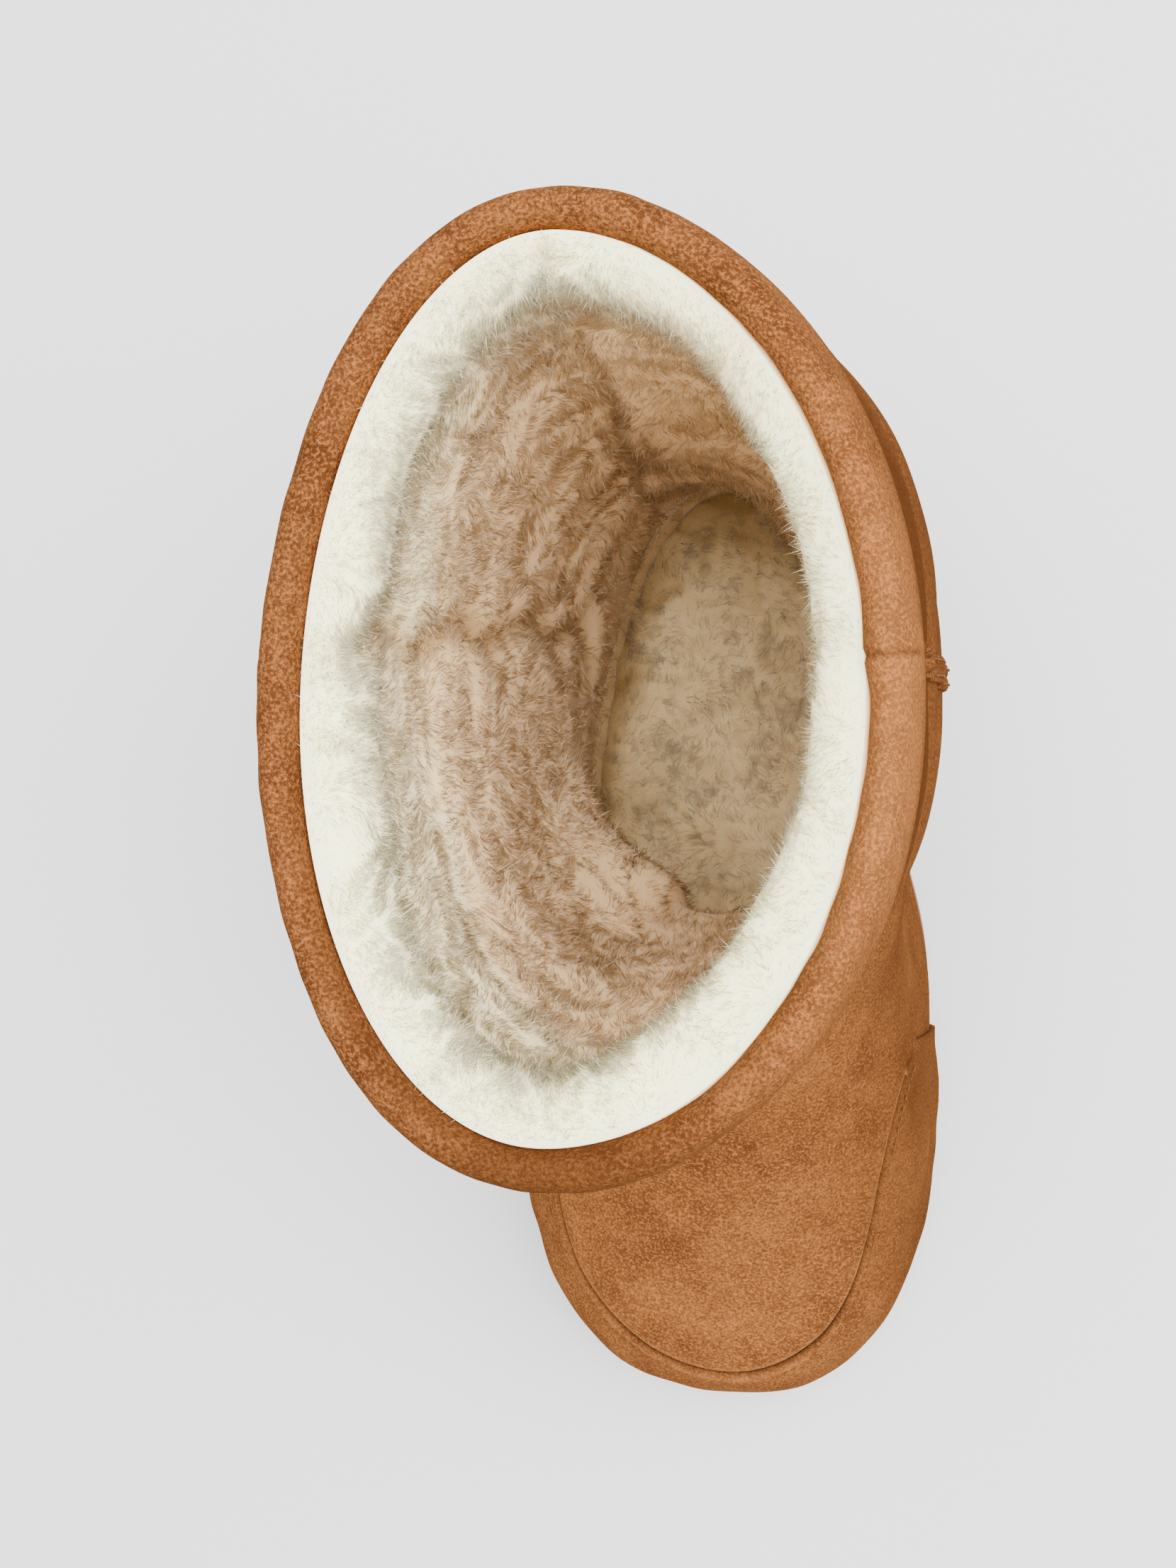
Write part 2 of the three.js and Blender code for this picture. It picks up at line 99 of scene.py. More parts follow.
SHAFT_SIZES = [UPPER_TOP - INSTEP_HEIGHT, COLLAR_FRONT, COLLAR_BACK, -BALL_SETBACK, COLLAR_MEDIAL,
               COLLAR_LATERAL, 1, 1, 1, WAIST_DEPTH, COLLAR_SWING]
SHAFT_SECTIONS = [
    [0.00, 0.949, 0.900, 0.06, 0.926, 0.909, 2.10, 2.10, 2.10, 0, 0.0],
    [0.10, 0.863, 0.900, 0.00, 0.963, 0.913, 2.10, 2.10, 2.15, 0, 0.0],
    [0.23, 0.834, 0.913, 0.00, 1.009, 0.935, 2.10, 2.10, 2.25, 0, 0.0],
    [0.39, 0.867, 0.932, 0.00, 1.051, 0.957, 2.10, 2.10, 2.40, 0, 0.0],
    [0.65, 0.940, 0.977, 0.00, 1.094, 0.991, 2.10, 2.10, 2.45, 0, 0.3],
    [0.85, 0.985, 0.998, 0.00, 1.065, 1.007, 2.10, 2.10, 2.20, 0, 0.7],
    [1.00, 1.000, 1.000, 0.00, 1.000, 1.000, 2.02, 1.97, 1.95, 0, 1.0],
]
SECTIONS = np.vstack([np.array(FOOT_SECTIONS) * FOOT_SIZES, np.array(SHAFT_SECTIONS) * SHAFT_SIZES])
SECTIONS[len(FOOT_SECTIONS):, 0] += INSTEP_HEIGHT
LEVELS = SECTIONS[:, 0]
SLOPES = np.gradient(SECTIONS, axis=0)
RISES = np.gradient(LEVELS)

# Seam of the toe band. Columns: way from the toe's middle to the inner end (1) or the outer end
# (-1), and the seam's height there as a share of BAND_TOE_HEIGHT.
BAND_SEAM = np.array([
    [-1, 1.18], [-0.94, 1.32], [-0.86, 1.35], [-0.74, 1.30], [-0.62, 1.17], [-0.5, 1.10],
    [-0.3, 1.075], [-0.1, 1.02], [0, 1], [0.1, 1.02], [0.3, 1.065], [0.46, 1.15],
    [0.54, 1.22], [0.64, 1.33], [0.77, 1.395], [0.87, 1.407], [0.94, 1.38], [1, 1.20],
])


# ---- Form of the boot ----

def smooth(low, high, value):
    """0 below low, 1 above high, and an S-curve between."""
    share = np.clip((value - low) / (high - low), 0, 1)
    return share * share * (3 - 2 * share)


def bell(value, width):
    """1 at 0, falling away smoothly over the width on both sides."""
    return np.exp(-(value / width) ** 2)


def unit(vectors):
    """Vectors brought to length 1."""
    return vectors / np.linalg.norm(vectors, axis=-1, keepdims=True)


def signed(angle):
    """Angle brought to between minus and plus half a turn."""
    return (angle + math.pi) % (2 * math.pi) - math.pi


def round_angles(columns):
    """Evenly spaced angles round the boot."""
    return np.arange(columns) / columns * 2 * math.pi


def section_at(height):
    """Each column of the section table as a cubic through its rows, sloped as the rows beside it."""
    z = np.clip(height, LEVELS[0], LEVELS[-1])
    i = np.clip(np.searchsorted(LEVELS, z, side="right") - 1, 0, len(LEVELS) - 2)
    span = LEVELS[i + 1] - LEVELS[i]
    f = ((z - LEVELS[i]) / span)[..., None]
    low, high = (SLOPES[k] / RISES[k][..., None] * span[..., None] for k in (i, i + 1))
    bend = 2 * f**3 - 3 * f**2
    sloping = low * (f**3 - 2 * f**2 + f) + high * (f**3 - f**2)
    return SECTIONS[i] * (bend + 1) - SECTIONS[i + 1] * bend + sloping


def face(angle, height):
    """Quarter superellipses about the widest station, less the waist's hollow, plus the swing."""
    angle, height = np.broadcast_arrays(angle, height)
    front, back, wide, medial, lateral, *rest = np.moveaxis(section_at(height), -1, 0)[1:]
    round_front, round_back, round_inner, waist, swing = rest
    forward, side = np.cos(angle), np.sin(angle)
    heel = np.where(side > 0, round_inner, round_back)
    power = 2 / np.where(forward > 0, round_front, heel)
    y = wide + np.where(forward > 0, -front - wide, back - wide) * np.abs(forward) ** power
    hollow = waist * bell(y + WAIST_SETBACK, WAIST_LENGTH) * np.maximum(side, 0)
    swung = swing * smooth(-BALL_SETBACK, BALL_SETBACK / 2, y)
    x = np.where(side > 0, medial, -lateral) * np.abs(side) ** power - hollow + swung
    return np.stack([x, y, np.clip(height, LEVELS[0], LEVELS[-1])], -1)


def outward(angle, height):
    """Unit normal of the face: the cross product of its two directions."""
    z = np.clip(height, LEVELS[0] + 0.5, UPPER_TOP - 0.5)
    along = face(angle + 0.004, z) - face(angle - 0.004, z)
    upward = face(angle, z + 0.5) - face(angle, z - 0.5)
    return unit(np.cross(along, upward))


def skin(angle, height, proud=0.0):
    """The face moved square off itself, outwards by a positive amount."""
    angle, height, proud = np.broadcast_arrays(angle, height, proud)
    return face(angle, height) + outward(angle, height) * proud[..., None]


def spring_lift(y):
    """Rise of the sole towards the toe."""
    return TOE_SPRING * np.maximum(0, (-y - SPRING_START) / (TOE_REACH - SPRING_START)) ** 1.8


def sole_bottom(y):
    """Toe spring, a squared cosine for the arch and a squared ramp for the heel's bevel."""
    off = np.clip((y + ARCH_MIDDLE) / ARCH_HALF_LENGTH, -1, 1)
    arch = ARCH_RISE * np.cos(off * math.pi / 2) ** 2
    bevel = HEEL_BEVEL * np.maximum(0, (y - HEEL_REACH + HEEL_BEVEL_LENGTH) / HEEL_BEVEL_LENGTH) ** 2
    return spring_lift(y) + arch + bevel


def sole_top(y):
    """From the ball's thickness to the heel's by an S-curve, plus the toe spring."""
    rise = smooth(-BALL_SETBACK, HEEL_REACH / 2, y)
    return BALL_THICKNESS + (HEEL_THICKNESS - BALL_THICKNESS) * rise + spring_lift(y)


def over_sole(angle, above):
    """Height at which the face stands a given amount over the sole's top."""
    height = np.full(np.shape(angle), HEEL_THICKNESS)
    for _ in range(12):
        height = sole_top(face(angle, height)[..., 1]) + above
    return height


def angle_at(sign, station, height):
    """Angle at which the face passes a station along the foot, found by halving."""
    height = np.asarray(height, float)
    near, far = np.zeros(np.shape(height)), np.full(np.shape(height), math.pi)
    for _ in range(30):
        middle = (near + far) / 2
        short = face(sign * middle, height)[..., 1] < station
        near, far = np.where(short, middle, near), np.where(short, far, middle)
    return sign * near


def band_end(sign, height):
    """Angle at which the toe band ends on the inner (1) and the outer (-1) side."""
    return np.where(sign > 0, angle_at(1, -BAND_SETBACK, height), angle_at(-1, -BAND_SETBACK, height))


def band_top(way):
    """Height of the toe seam: the table's rows joined by a smooth curve."""
    fine = np.linspace(-1, 1, 241)
    rough = np.interp(fine, BAND_SEAM[:, 0], BAND_SEAM[:, 1])
    kernel = bell(np.arange(-9, 10), 4.0)
    padded = np.pad(rough, 9, mode="reflect", reflect_type="odd")
    return BAND_TOE_HEIGHT * np.interp(way, fine, np.convolve(padded, kernel / kernel.sum(), "valid"))


# ---- Fields that roughen a form ----

def waves(points, length, seed, count=36):
    """Sum of sines in random directions, of about one wavelength: a smooth random field near ±1."""
    rng = np.random.default_rng(seed)
    way = unit(rng.normal(size=(count, 3)))
    pace = 2 * math.pi / (length * rng.uniform(0.7, 1.5, count))
    start = rng.uniform(0, 2 * math.pi, count)
    return np.sin(points @ (way * pace[:, None]).T + start).sum(-1) / math.sqrt(count)


def tufts(u, v, around, size, seed):
    """Jittered cells on an unrolled surface. Gives each point its distance to the nearest cell's
    middle, in cells, and that middle's offset. u runs round a loop of the given length."""
    rng = np.random.default_rng(seed)
    columns = max(3, round(around / size))
    rows = 256
    jitter = rng.uniform(0.12, 0.88, (columns, rows, 2))
    a, b = u / around * columns, v / size
    best = np.full(np.shape(a), 9.0)
    gap = np.zeros((*np.shape(a), 2))
    for i in (-1, 0, 1):
        for j in (-1, 0, 1):
            cell_a, cell_b = np.floor(a).astype(int) + i, np.floor(b).astype(int) + j
            middle = jitter[cell_a % columns, cell_b % rows]
            off = np.stack([cell_a + middle[..., 0] - a, cell_b + middle[..., 1] - b], -1)
            apart = np.linalg.norm(off, axis=-1)
            closer = apart < best
            best = np.where(closer, apart, best)
            gap = np.where(closer[..., None], off, gap)
    return best, gap * size


# ---- Meshes ----

def to_frame(points):
    """Points in millimetres from the leg's axis, as metres in the shared frame."""
    return (points - BOX_MIDDLE) / 1000


def add_piece(name, points, quads, material, slot, triangles=None, replaces=(), **fields):
    """Makes a mesh object from points in millimetres and faces as index arrays. Each field is a
    number for every point that the material reads."""
    mesh = bpy.data.meshes.new(name)
    points = points.reshape(-1, 3)
    corners = []
    if quads is not None:
        corners.append(quads.reshape(-1, 4))
    if triangles is not None:
        corners.append(triangles.reshape(-1, 3))
    flat = np.concatenate([c.ravel() for c in corners])
    sizes = np.concatenate([np.full(len(c), c.shape[1]) for c in corners])
    mesh.vertices.add(len(points))
    mesh.vertices.foreach_set("co", to_frame(points).astype(np.float32).ravel())
    mesh.loops.add(len(flat))
    mesh.loops.foreach_set("vertex_index", flat.astype(np.int32))
    mesh.polygons.add(len(sizes))
    mesh.polygons.foreach_set("loop_start", (np.cumsum(sizes) - sizes).astype(np.int32))
    mesh.polygons.foreach_set("loop_total", sizes.astype(np.int32))
    mesh.polygons.foreach_set("use_smooth", np.ones(len(sizes), bool))
    for field, values in fields.items():
        layer = mesh.attributes.new(field, "FLOAT", "POINT")
        layer.data.foreach_set("value", np.asarray(values, np.float32).ravel())
    mesh.update(calc_edges=True)
    mesh.validate()
    mesh.materials.append(material)
    piece = bpy.data.objects.new(name, mesh)
    bpy.context.scene.collection.objects.link(piece)
    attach(piece, "root")
    if replaces:
        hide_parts(*replaces)


def grid_quads(rows, columns, close_rows=False, close_columns=True):
    """Quads of a grid of points, rows by columns, closed on itself where asked."""
    r = np.arange(rows if close_rows else rows - 1)
    c = np.arange(columns if close_columns else columns - 1)
    r, c = np.meshgrid(r, c, indexing="ij")
    below, beside = (r + 1) % rows, (c + 1) % columns
    here, under = r * columns, below * columns
    return np.stack([here + c, here + beside, under + beside, under + c], -1)


def leading(values, rows):
    """Field with the given values on a piece's first rows of points and 0 on the others."""
    return np.concatenate([values, np.zeros((rows - len(values), values.shape[1]))])


def with_height(plan, height):
    """Points of a flat outline, each at its own height."""
    return np.concatenate([plan, height[:, None]], 1)


def end_caps(rows, columns):
    """Quads across the first and last column of an open shell whose rows close on themselves."""
    first = np.arange(rows // 2 - 1)
    across = rows - 1 - first
    start = np.stack([first, first + 1, across - 1, across], -1) * columns
    return np.concatenate([start, start[:, ::-1] + columns - 1])


def add_chain(name, rings, material, slot, **more):
    """Closed tube through rings of points (rings by points), with a fan at each end."""
    count, size = rings.shape[:2]
    points = np.concatenate([rings.reshape(-1, 3), rings[:1].mean(1), rings[-1:].mean(1)])
    turn = np.arange(size)
    start = np.stack([(turn + 1) % size, turn, np.full(size, count * size)], -1)
    end = np.stack([turn, (turn + 1) % size, np.full(size, count * size + 1)], -1) + [
        (count - 1) * size, (count - 1) * size, 0]
    add_piece(name, points, grid_quads(count, size), material, slot,
              triangles=np.concatenate([start, end]), **more)


# ---- Materials ----

def colour(hex_text):
    """sRGB hex value as linear red, green, blue and full opacity."""
    parts = [int(hex_text[i:i + 2], 16) / 255 for i in (1, 3, 5)]
    return [p / 12.92 if p <= 0.04045 else ((p + 0.055) / 1.055) ** 2.4 for p in parts] + [1.0]


def per_mm(size):
    """Scale of a noise texture on metre coordinates whose features are about this many mm."""
    return 1000 / size


def add(tree, kind, inputs=None, **settings):
    """Adds a node, sets its settings, and fills or links its sockets by name or number."""
    made = tree.nodes.new(kind)
    for key, value in settings.items():
        setattr(made, key, value)
    for key, value in (inputs or {}).items():
        if isinstance(value, bpy.types.NodeSocket):
            tree.links.new(value, made.inputs[key])
        else:
            made.inputs[key].default_value = value
    return made


def new_material(name, *patterns):
    """Empty material and its node tree, with a random field from 0 to 1 for each pattern: its size
    in millimetres, detail, roughness and distortion."""
    material = bpy.data.materials.new(name)
    material.use_nodes = True
    tree = material.node_tree
    tree.nodes.clear()
    where = add(tree, "ShaderNodeTexCoord").outputs["Object"]
    fields = [add(tree, "ShaderNodeTexNoise", {
        "Vector": where, "Scale": per_mm(size), "Detail": detail, "Roughness": roughness,
        "Distortion": twist}).outputs["Fac"] for size, detail, roughness, twist in patterns]
    return material, tree, *fields


def tinted(tree, base, layers):
    """Lays colours over a base. Each layer has what it follows (a socket, or the name of a value
    that the mesh holds), where its share starts and where it is full, the full share, and a colour."""
    for source, low, high, most, tint in layers:
        if isinstance(source, str):
            source = add(tree, "ShaderNodeAttribute", attribute_name=source).outputs["Fac"]
        share = add(tree, "ShaderNodeMapRange", {
            "Value": source, "From Min": low, "From Max": high, "To Max": most}).outputs["Result"]
        mixed = add(tree, "ShaderNodeMix", {0: share, 6: base, 7: tint}, data_type="RGBA")
        base = mixed.outputs[2]
    return base


def sheepskin_suede(name, dark, middle, light, grain, patch):
    """Suede side of sheepskin, brushed: a short nap of about 0.8 mm that lies this way and that, so
    the eye sees soft light and dark patches, a fine even speckle and no gloss. The nap's single
    fibres are too fine to show, so the speckle is drawn coarser, at the given grain."""
    material, tree, patches, brushed, nap, speckle = new_material(
        name, (patch, 3, 0.55, 0.8), (9, 2, 0.5, 0.5), (2.0, 2, 0.6, 0), (grain, 2, 0.7, 0))
    # Over the suede's own patches and speckle, the last three layers are painted: painted shade where the
    # boot lies in shade, a lighter layer of wear and painted highlights, and painted shade in grooves and
    # seams.
    base = tinted(tree, colour(dark), [
        (patches, 0.36, 0.66, 1, colour(middle)), (brushed, 0.3, 0.7, 0.35, colour(light)),
        (nap, 0.5, 0.34, 0.2, colour(dark)), (speckle, 0.48, 0.74, 1, colour(light)),
        (speckle, 0.52, 0.26, 1, colour(dark)), ("shade", 0, 1, 1, colour("#351c0b")),
        ("worn", 0, 1, 1, colour("#a56c3e")), ("groove", 0, 1, 1, colour("#1f1108"))])
    relief = add(tree, "ShaderNodeMath", {0: nap, 1: speckle}, operation="ADD").outputs[0]
    bump = add(tree, "ShaderNodeBump", {"Height": relief, "Strength": 0.8, "Distance": 0.0006})
    shader = add(tree, "ShaderNodeBsdfPrincipled", {
        "Base Color": base, "Roughness": 1.0, "Specular IOR Level": 0.0, "Sheen Weight": 0.04,
        "Sheen Roughness": 0.5, "Sheen Tint": colour("#d99b66"), "Normal": bump.outputs[0]})
    add(tree, "ShaderNodeOutputMaterial", {"Surface": shader.outputs[0]})
    return material


def sheared_wool(name, tip, depth, crease):
    """Sheared sheepskin wool: dense, matt and curly. It is cream at the tips by the rim; deeper in it
    turns tan, painted shade for the dimmer light there, and olive brown in its partings and gaps,
    painted shade with some of the underwool's own darker colour. Single fibres are too fine to show,
    so they are drawn coarser, as 0.9 mm strands."""
    material, tree, curls, fibres = new_material(name, (5.5, 3, 0.6, 1.2), (0.9, 3, 0.7, 0.6))
    # The tan tint is painted shade for the dimmer light deep in the boot. The last tint, in gaps and
    # partings, is painted shade with some of the underwool's own darker colour.
    base = tinted(tree, colour(tip), [("tone", 0, 1, 1, colour(depth))])
    dimmer = tinted(tree, colour("#f0dfac"), [("tone", 0, 1, 1, colour("#dfb881"))])
    base = tinted(tree, base, [(curls, 0.7, 0.32, 0.3, dimmer), (fibres, 0.55, 0.3, 0.2, dimmer),
                               ("crease", 0, 1, 1, colour(crease))])
    bump = add(tree, "ShaderNodeBump", {"Height": fibres, "Strength": 0.5, "Distance": 0.0007})
    shader = add(tree, "ShaderNodeBsdfPrincipled", {
        "Base Color": base, "Roughness": 0.9, "Specular IOR Level": 0.05, "Sheen Weight": 0.08,
        "Sheen Roughness": 0.5, "Subsurface Weight": 0.75, "Subsurface Scale": 0.006,
        "Subsurface Radius": (1.0, 0.8, 0.55), "Normal": bump.outputs[0]})
    add(tree, "ShaderNodeOutputMaterial", {"Surface": shader.outputs[0]})
    return material


def moulded_foam(name, light, dark):
    """Moulded EVA foam: matt, even and faintly pebbled, a little darker where it has been handled.
    The mould's grain is too fine to show, so its pebbles are drawn coarser, at 1.1 mm."""
    material, tree, cloud, pebble = new_material(name, (30, 3, 0.55, 0), (1.1, 2, 0.5, 0))
    # The last layer is painted shade in the tread grooves and the side groove.
    base = tinted(tree, colour(light), [
        (cloud, 0.35, 0.7, 1, colour(dark)), (pebble, 0.55, 0.35, 0.4, colour(dark)),
        ("groove", 0, 1, 1, colour("#38250f"))])
    bump = add(tree, "ShaderNodeBump", {"Height": pebble, "Strength": 0.35, "Distance": 0.0003})
    shader = add(tree, "ShaderNodeBsdfPrincipled", {
        "Base Color": base, "Roughness": 0.68, "Specular IOR Level": 0.4, "Normal": bump.outputs[0]})
    add(tree, "ShaderNodeOutputMaterial", {"Surface": shader.outputs[0]})
    return material


def spun_thread(name, light, dark):
    """Spun polyester thread: nearly matt, with fine twisted shading along each stitch. Its twist is
    too fine to show, so it is drawn coarser, at 0.5 mm."""
    material, tree, yarn = new_material(name, (0.5, 1, 0.5, 0))
    twist = add(tree, "ShaderNodeMapRange", {"Value": yarn, "From Min": 0.35, "From Max": 0.65}).outputs[0]
    bump = add(tree, "ShaderNodeBump", {"Height": twist, "Strength": 0.4, "Distance": 0.0001})
    shader = add(tree, "ShaderNodeBsdfPrincipled", {
        "Base Color": tinted(tree, colour(dark), [(twist, 0, 1, 1, colour(light))]),
        "Roughness": 0.85, "Specular IOR Level": 0.05, "Normal": bump.outputs[0]})
    add(tree, "ShaderNodeOutputMaterial", {"Surface": shader.outputs[0]})
    return material


def paper_sweep(name):
    """Matt studio paper, pale grey with the faintest tooth, drawn coarser than real so that it shows."""
    material, tree, tooth = new_material(name, (2.0, 2, 0.5, 0))
    base = tinted(tree, colour("#c6c6c6"), [(tooth, 0, 1, 1, colour("#cacaca"))])
    shader = add(tree, "ShaderNodeBsdfPrincipled", {
        "Base Color": base, "Roughness": 0.95, "Specular IOR Level": 0.1})
    add(tree, "ShaderNodeOutputMaterial", {"Surface": shader.outputs[0]})
    return material


suede = sheepskin_suede("brushed_sheepskin_suede", "#4b2a15", "#694020", "#8e5a30", 0.7, 30)
binding_suede = sheepskin_suede("turned_suede_strip", "#3c200f", "#5b361b", "#87552e", 0.6, 13)
# Each wool's second colour is the painted shade of the depths, and its third the painted shade of gaps and
# partings.
wool = sheared_wool("sheared_sheepskin_wool", "#fef8c6", "#f4d09a", "#a37c46")
footbed_wool = sheared_wool("pressed_wool_footbed", "#fdf2cc", "#f6dba6", "#a0804c")
foam = moulded_foam("moulded_eva_foam", "#7d5730", "#694724")
thread = spun_thread("spun_polyester_thread", "#6b431f", "#4b2b12")


# ---- Upper ----

FOLD_RADIUS = 60.0

# Creases of the upper. Columns: angle in degrees, height, heading in degrees from level, half
# length, half width and depth.
CREASES = [
    [0, 127, 0, 46, 7.0, 2.3],
    [14, 143, 7, 40, 6.0, 1.5],
    [-16, 152, -8, 34, 6.5, 1.2],
    [4, 110, 3, 34, 6.0, 1.1],
    [66, 119, -16, 34, 6.5, 1.9],
    [-70, 121, 17, 36, 6.5, 1.9],
    [98, 140, -20, 30, 7.0, 1.5],
    [-104, 138, 18, 32, 7.0, 1.6],
    [180, 104, 0, 38, 7.0, 2.0],
    [168, 124, 8, 42, 7.5, 1.8],
    [-160, 143, -9, 36, 8.0, 1.5],
    [106, 291, -2, 62, 6.0, 2.8],
    [124, 270, -6, 60, 5.0, 2.3],
    [118, 238, -9, 66, 6.5, 3.0],
    [134, 203, -6, 50, 7.5, 2.4],
    [84, 176, 14, 38, 9.0, 1.5],
    [-122, 232, 9, 52, 8.0, 2.3],
    [-84, 190, -12, 46, 9.0, 1.6],
    [-30, 206, 10, 40, 10.0, 1.3],
    [34, 188, -9, 42, 9.0, 1.4],
    [20, 252, 6, 48, 11.0, 1.0],
    [-60, 262, -5, 44, 10.0, 1.0],
    [172, 246, 4, 50, 10.0, 1.1],
    [77, 246, 0, 16, 17.0, 1.9],
    [38, 74, 22, 24, 5.0, 0.8],
    [-34, 78, -18, 26, 5.0, 0.8],
]


def creased(angle, height):
    """Soft trough along each row of CREASES with a low ridge on both sides, over long slow waves.
    All of it fades out at the binding and at the sole."""
    relief = 0.5 * waves(skin(angle, height), 75, 11) + 0.25 * waves(skin(angle, height), 30, 12) - 0.4
    for degrees, level, heading, reach, width, depth in CREASES:
        u, v = signed(angle - math.radians(degrees)) * FOLD_RADIUS, height - level
        turn = math.radians(heading)
        along = u * math.cos(turn) + v * math.sin(turn)
        across = v * math.cos(turn) - u * math.sin(turn) + 1.5 * np.sin(along / 13 + level)
        trough = bell(across, width) - 0.3 * bell(across - 1.9 * width, 1.2 * width)
        relief -= depth * bell(along, reach) * (trough - 0.2 * bell(across + 1.9 * width, 1.2 * width))
    shown = smooth(UPPER_TOP - 8, UPPER_TOP - 30, height) * smooth(4, 20, height - HEEL_THICKNESS)
    return relief * shown


def painted_shade_share(angle, height):
    """Share of painted shade on the suede: on the shaft's medial side, with painted shadows in the two
    folds tucked in under the binding, on the medial slope of the vamp and of the toe band, and on the
    front of the collar."""
    turn = signed(angle)
    shaft = 0.66 * bell(turn - 1.8, 0.85) * smooth(120, 190, height) * smooth(312, 300, height)
    vamp = 0.6 * bell(turn - 1.35, 0.6) * smooth(150, 100, height)
    collar = 0.68 * bell(turn - 0.05, 0.5) * smooth(290, 305, height)
    fold_shadows = bell(turn - 1.85, 0.9) * (0.5 * bell(height - 286, 9) + 0.22 * bell(height - 246, 14))
    drift = 1 + 0.2 * waves(skin(angle, np.clip(height, 20, UPPER_TOP)), 40, 13)
    return np.clip((shaft + vamp + collar) * drift + fold_shadows, 0, 0.93)


def band_way(angle, height):
    """How far along the toe band an angle is, 1 at the band's ends. Past them it goes on rising."""
    return np.abs(angle / band_end(angle, height))


def make_upper():
    """One wall from the sole to the collar: outer rows going up and inner rows coming down. Some rows
    follow the toe seam closely, where the vamp dips into the seam and swells just behind it. On the
    inner side the seam's edge is light and frayed."""
    columns = 280
    angle = round_angles(columns)
    from_toe = signed(angle)
    low = over_sole(angle, CLEARANCE)
    seam = band_top(np.zeros(columns))
    for _ in range(8):
        way = np.clip(band_way(from_toe, seam), 0, 1)
        seam = band_top(np.sign(from_toe) * way)
    slope = np.linalg.norm(face(angle, seam + 0.5) - face(angle, seam - 0.5), axis=-1)
    slope = np.clip(slope, 1, 4)
    near = np.array([-5, -3, -1.5, -0.8, -0.4, -0.1, 0.2, 0.5, 0.8, 1.15, 1.6, 2.2, 3, 4, 5.5, 7.5, 10, 13])
    close = seam + near[:, None] / slope
    below = low + (close[0] - low) * np.linspace(0, 1, 16)[:-1, None]
    beyond = close[-1] + (UPPER_TOP - close[-1]) * np.linspace(0, 1, 126)[1:, None]
    height = np.concatenate([below, close, beyond])
    above = (height - seam) * slope
    seam_way = band_way(from_toe, seam)
    in_band = smooth(1.015, 0.975, seam_way) + 0 * height
    puff = 1.2 * smooth(0.2, 1.7, above) * smooth(16, 3, above) - 0.45 * bell(above - 0.1, 0.6)
    turn = np.broadcast_to(angle, height.shape)
    outer = skin(turn, height, creased(turn, height) + puff * in_band)
    share = np.linspace(1, 0, 24)
    inner_height = low + (UPPER_TOP - low) * share[:, None]
    inner_turn = np.broadcast_to(angle, inner_height.shape)
    inner = skin(inner_turn, inner_height, creased(inner_turn, inner_height) - UPPER_WALL)
    points = np.concatenate([outer, inner])
    medial = smooth(0.3, 0.6, seam_way) * (from_toe > 0)
    frayed = 0.5 + 0.5 * np.sin(13 * from_toe * waves(outer, 2.4, 24))
    # Painted shadow in the toe seam, fainter on the medial side.
    groove = 0.85 * bell(above - 0.15, 0.55) * in_band * (1 - 0.6 * medial)
    # Painted highlight on the swell just above the toe seam, and on the medial side a lighter, frayed line
    # along the seam's edge.
    worn = (0.3 * bell(above - 1.7, 0.6) + 0.6 * medial * frayed * bell(above - 0.9, 0.7)) * in_band
    rows = len(points)
    add_piece("upper_suede", points, grid_quads(rows, columns, close_rows=True), suede, "suede",
              replaces=("upper",), groove=leading(groove, rows), worn=leading(worn, rows),
              shade=leading(painted_shade_share(turn, height), rows))


def make_toe_band():
    """Strip from the sole to the toe seam. Its face swells a little, and its upper edge turns over
    in a soft roll that throws the seam's shadow. Its back is sunk into the suede wall, so that no
    light shows behind it."""
    columns, rows = 230, 28
    way = np.linspace(-1, 1, columns)
    low = np.full(columns, HEEL_THICKNESS)
    for _ in range(12):
        turn = np.abs(way) * band_end(way, low)
        low = sole_top(skin(turn, low, BAND_CLEARANCE)[:, 1]) + BAND_CLEARANCE
    share = (np.linspace(0, 1, rows) ** 0.85)[:, None]
    top = band_top(way)
    height = low + (top - low) * share
    turn = np.abs(way) * band_end(np.broadcast_to(way, height.shape), height)
    down = (top - height) * 1.3
    swell = 0.4 * np.sin(math.pi * share) + 0.25 * bell(down - 2.2, 2.0)
    roll = 0.8 * (1 - np.sqrt(np.clip(1 - ((1.1 - down) / 1.1).clip(0, 1) ** 2, 0, 1)))
    ends = 0.8 * smooth(0.96, 1.0, np.abs(way))
    rough = 0.22 * waves(skin(turn, height), 14, 21) + 0.3 * waves(skin(turn, height), 32, 22)
    dent = creased(turn, height)
    proud = BAND_CLEARANCE + BAND_THICKNESS + (swell + rough) * smooth(0, 2, down) - roll - ends
    outer = skin(turn, height, dent + proud)
    inner = skin(turn, height, dent - STRIP_SUNK)[::-1]
    points = np.concatenate([outer, inner])
    # The rolled edge is lighter, in patches.
    worn = 0.35 * bell(down - 0.8, 0.8) * (0.6 + 0.4 * waves(outer, 5, 23).clip(-1, 1))
    # Painted shade on the sunk back face and at the top of the roll, where the seam's shadow falls.
    groove = np.zeros(points.shape[:2])
    groove[rows:] = 0.8
    groove[rows - 1] = 0.5
    quads = np.concatenate([
        grid_quads(2 * rows, columns, close_rows=True, close_columns=False).reshape(-1, 4),
        end_caps(2 * rows, columns)])
    add_piece("toe_band_suede", points, quads, suede, "suede", replaces=("toe_band",),
              groove=groove, worn=leading(worn, 2 * rows), shade=leading(painted_shade_share(turn, height), 2 * rows))
    return way, top


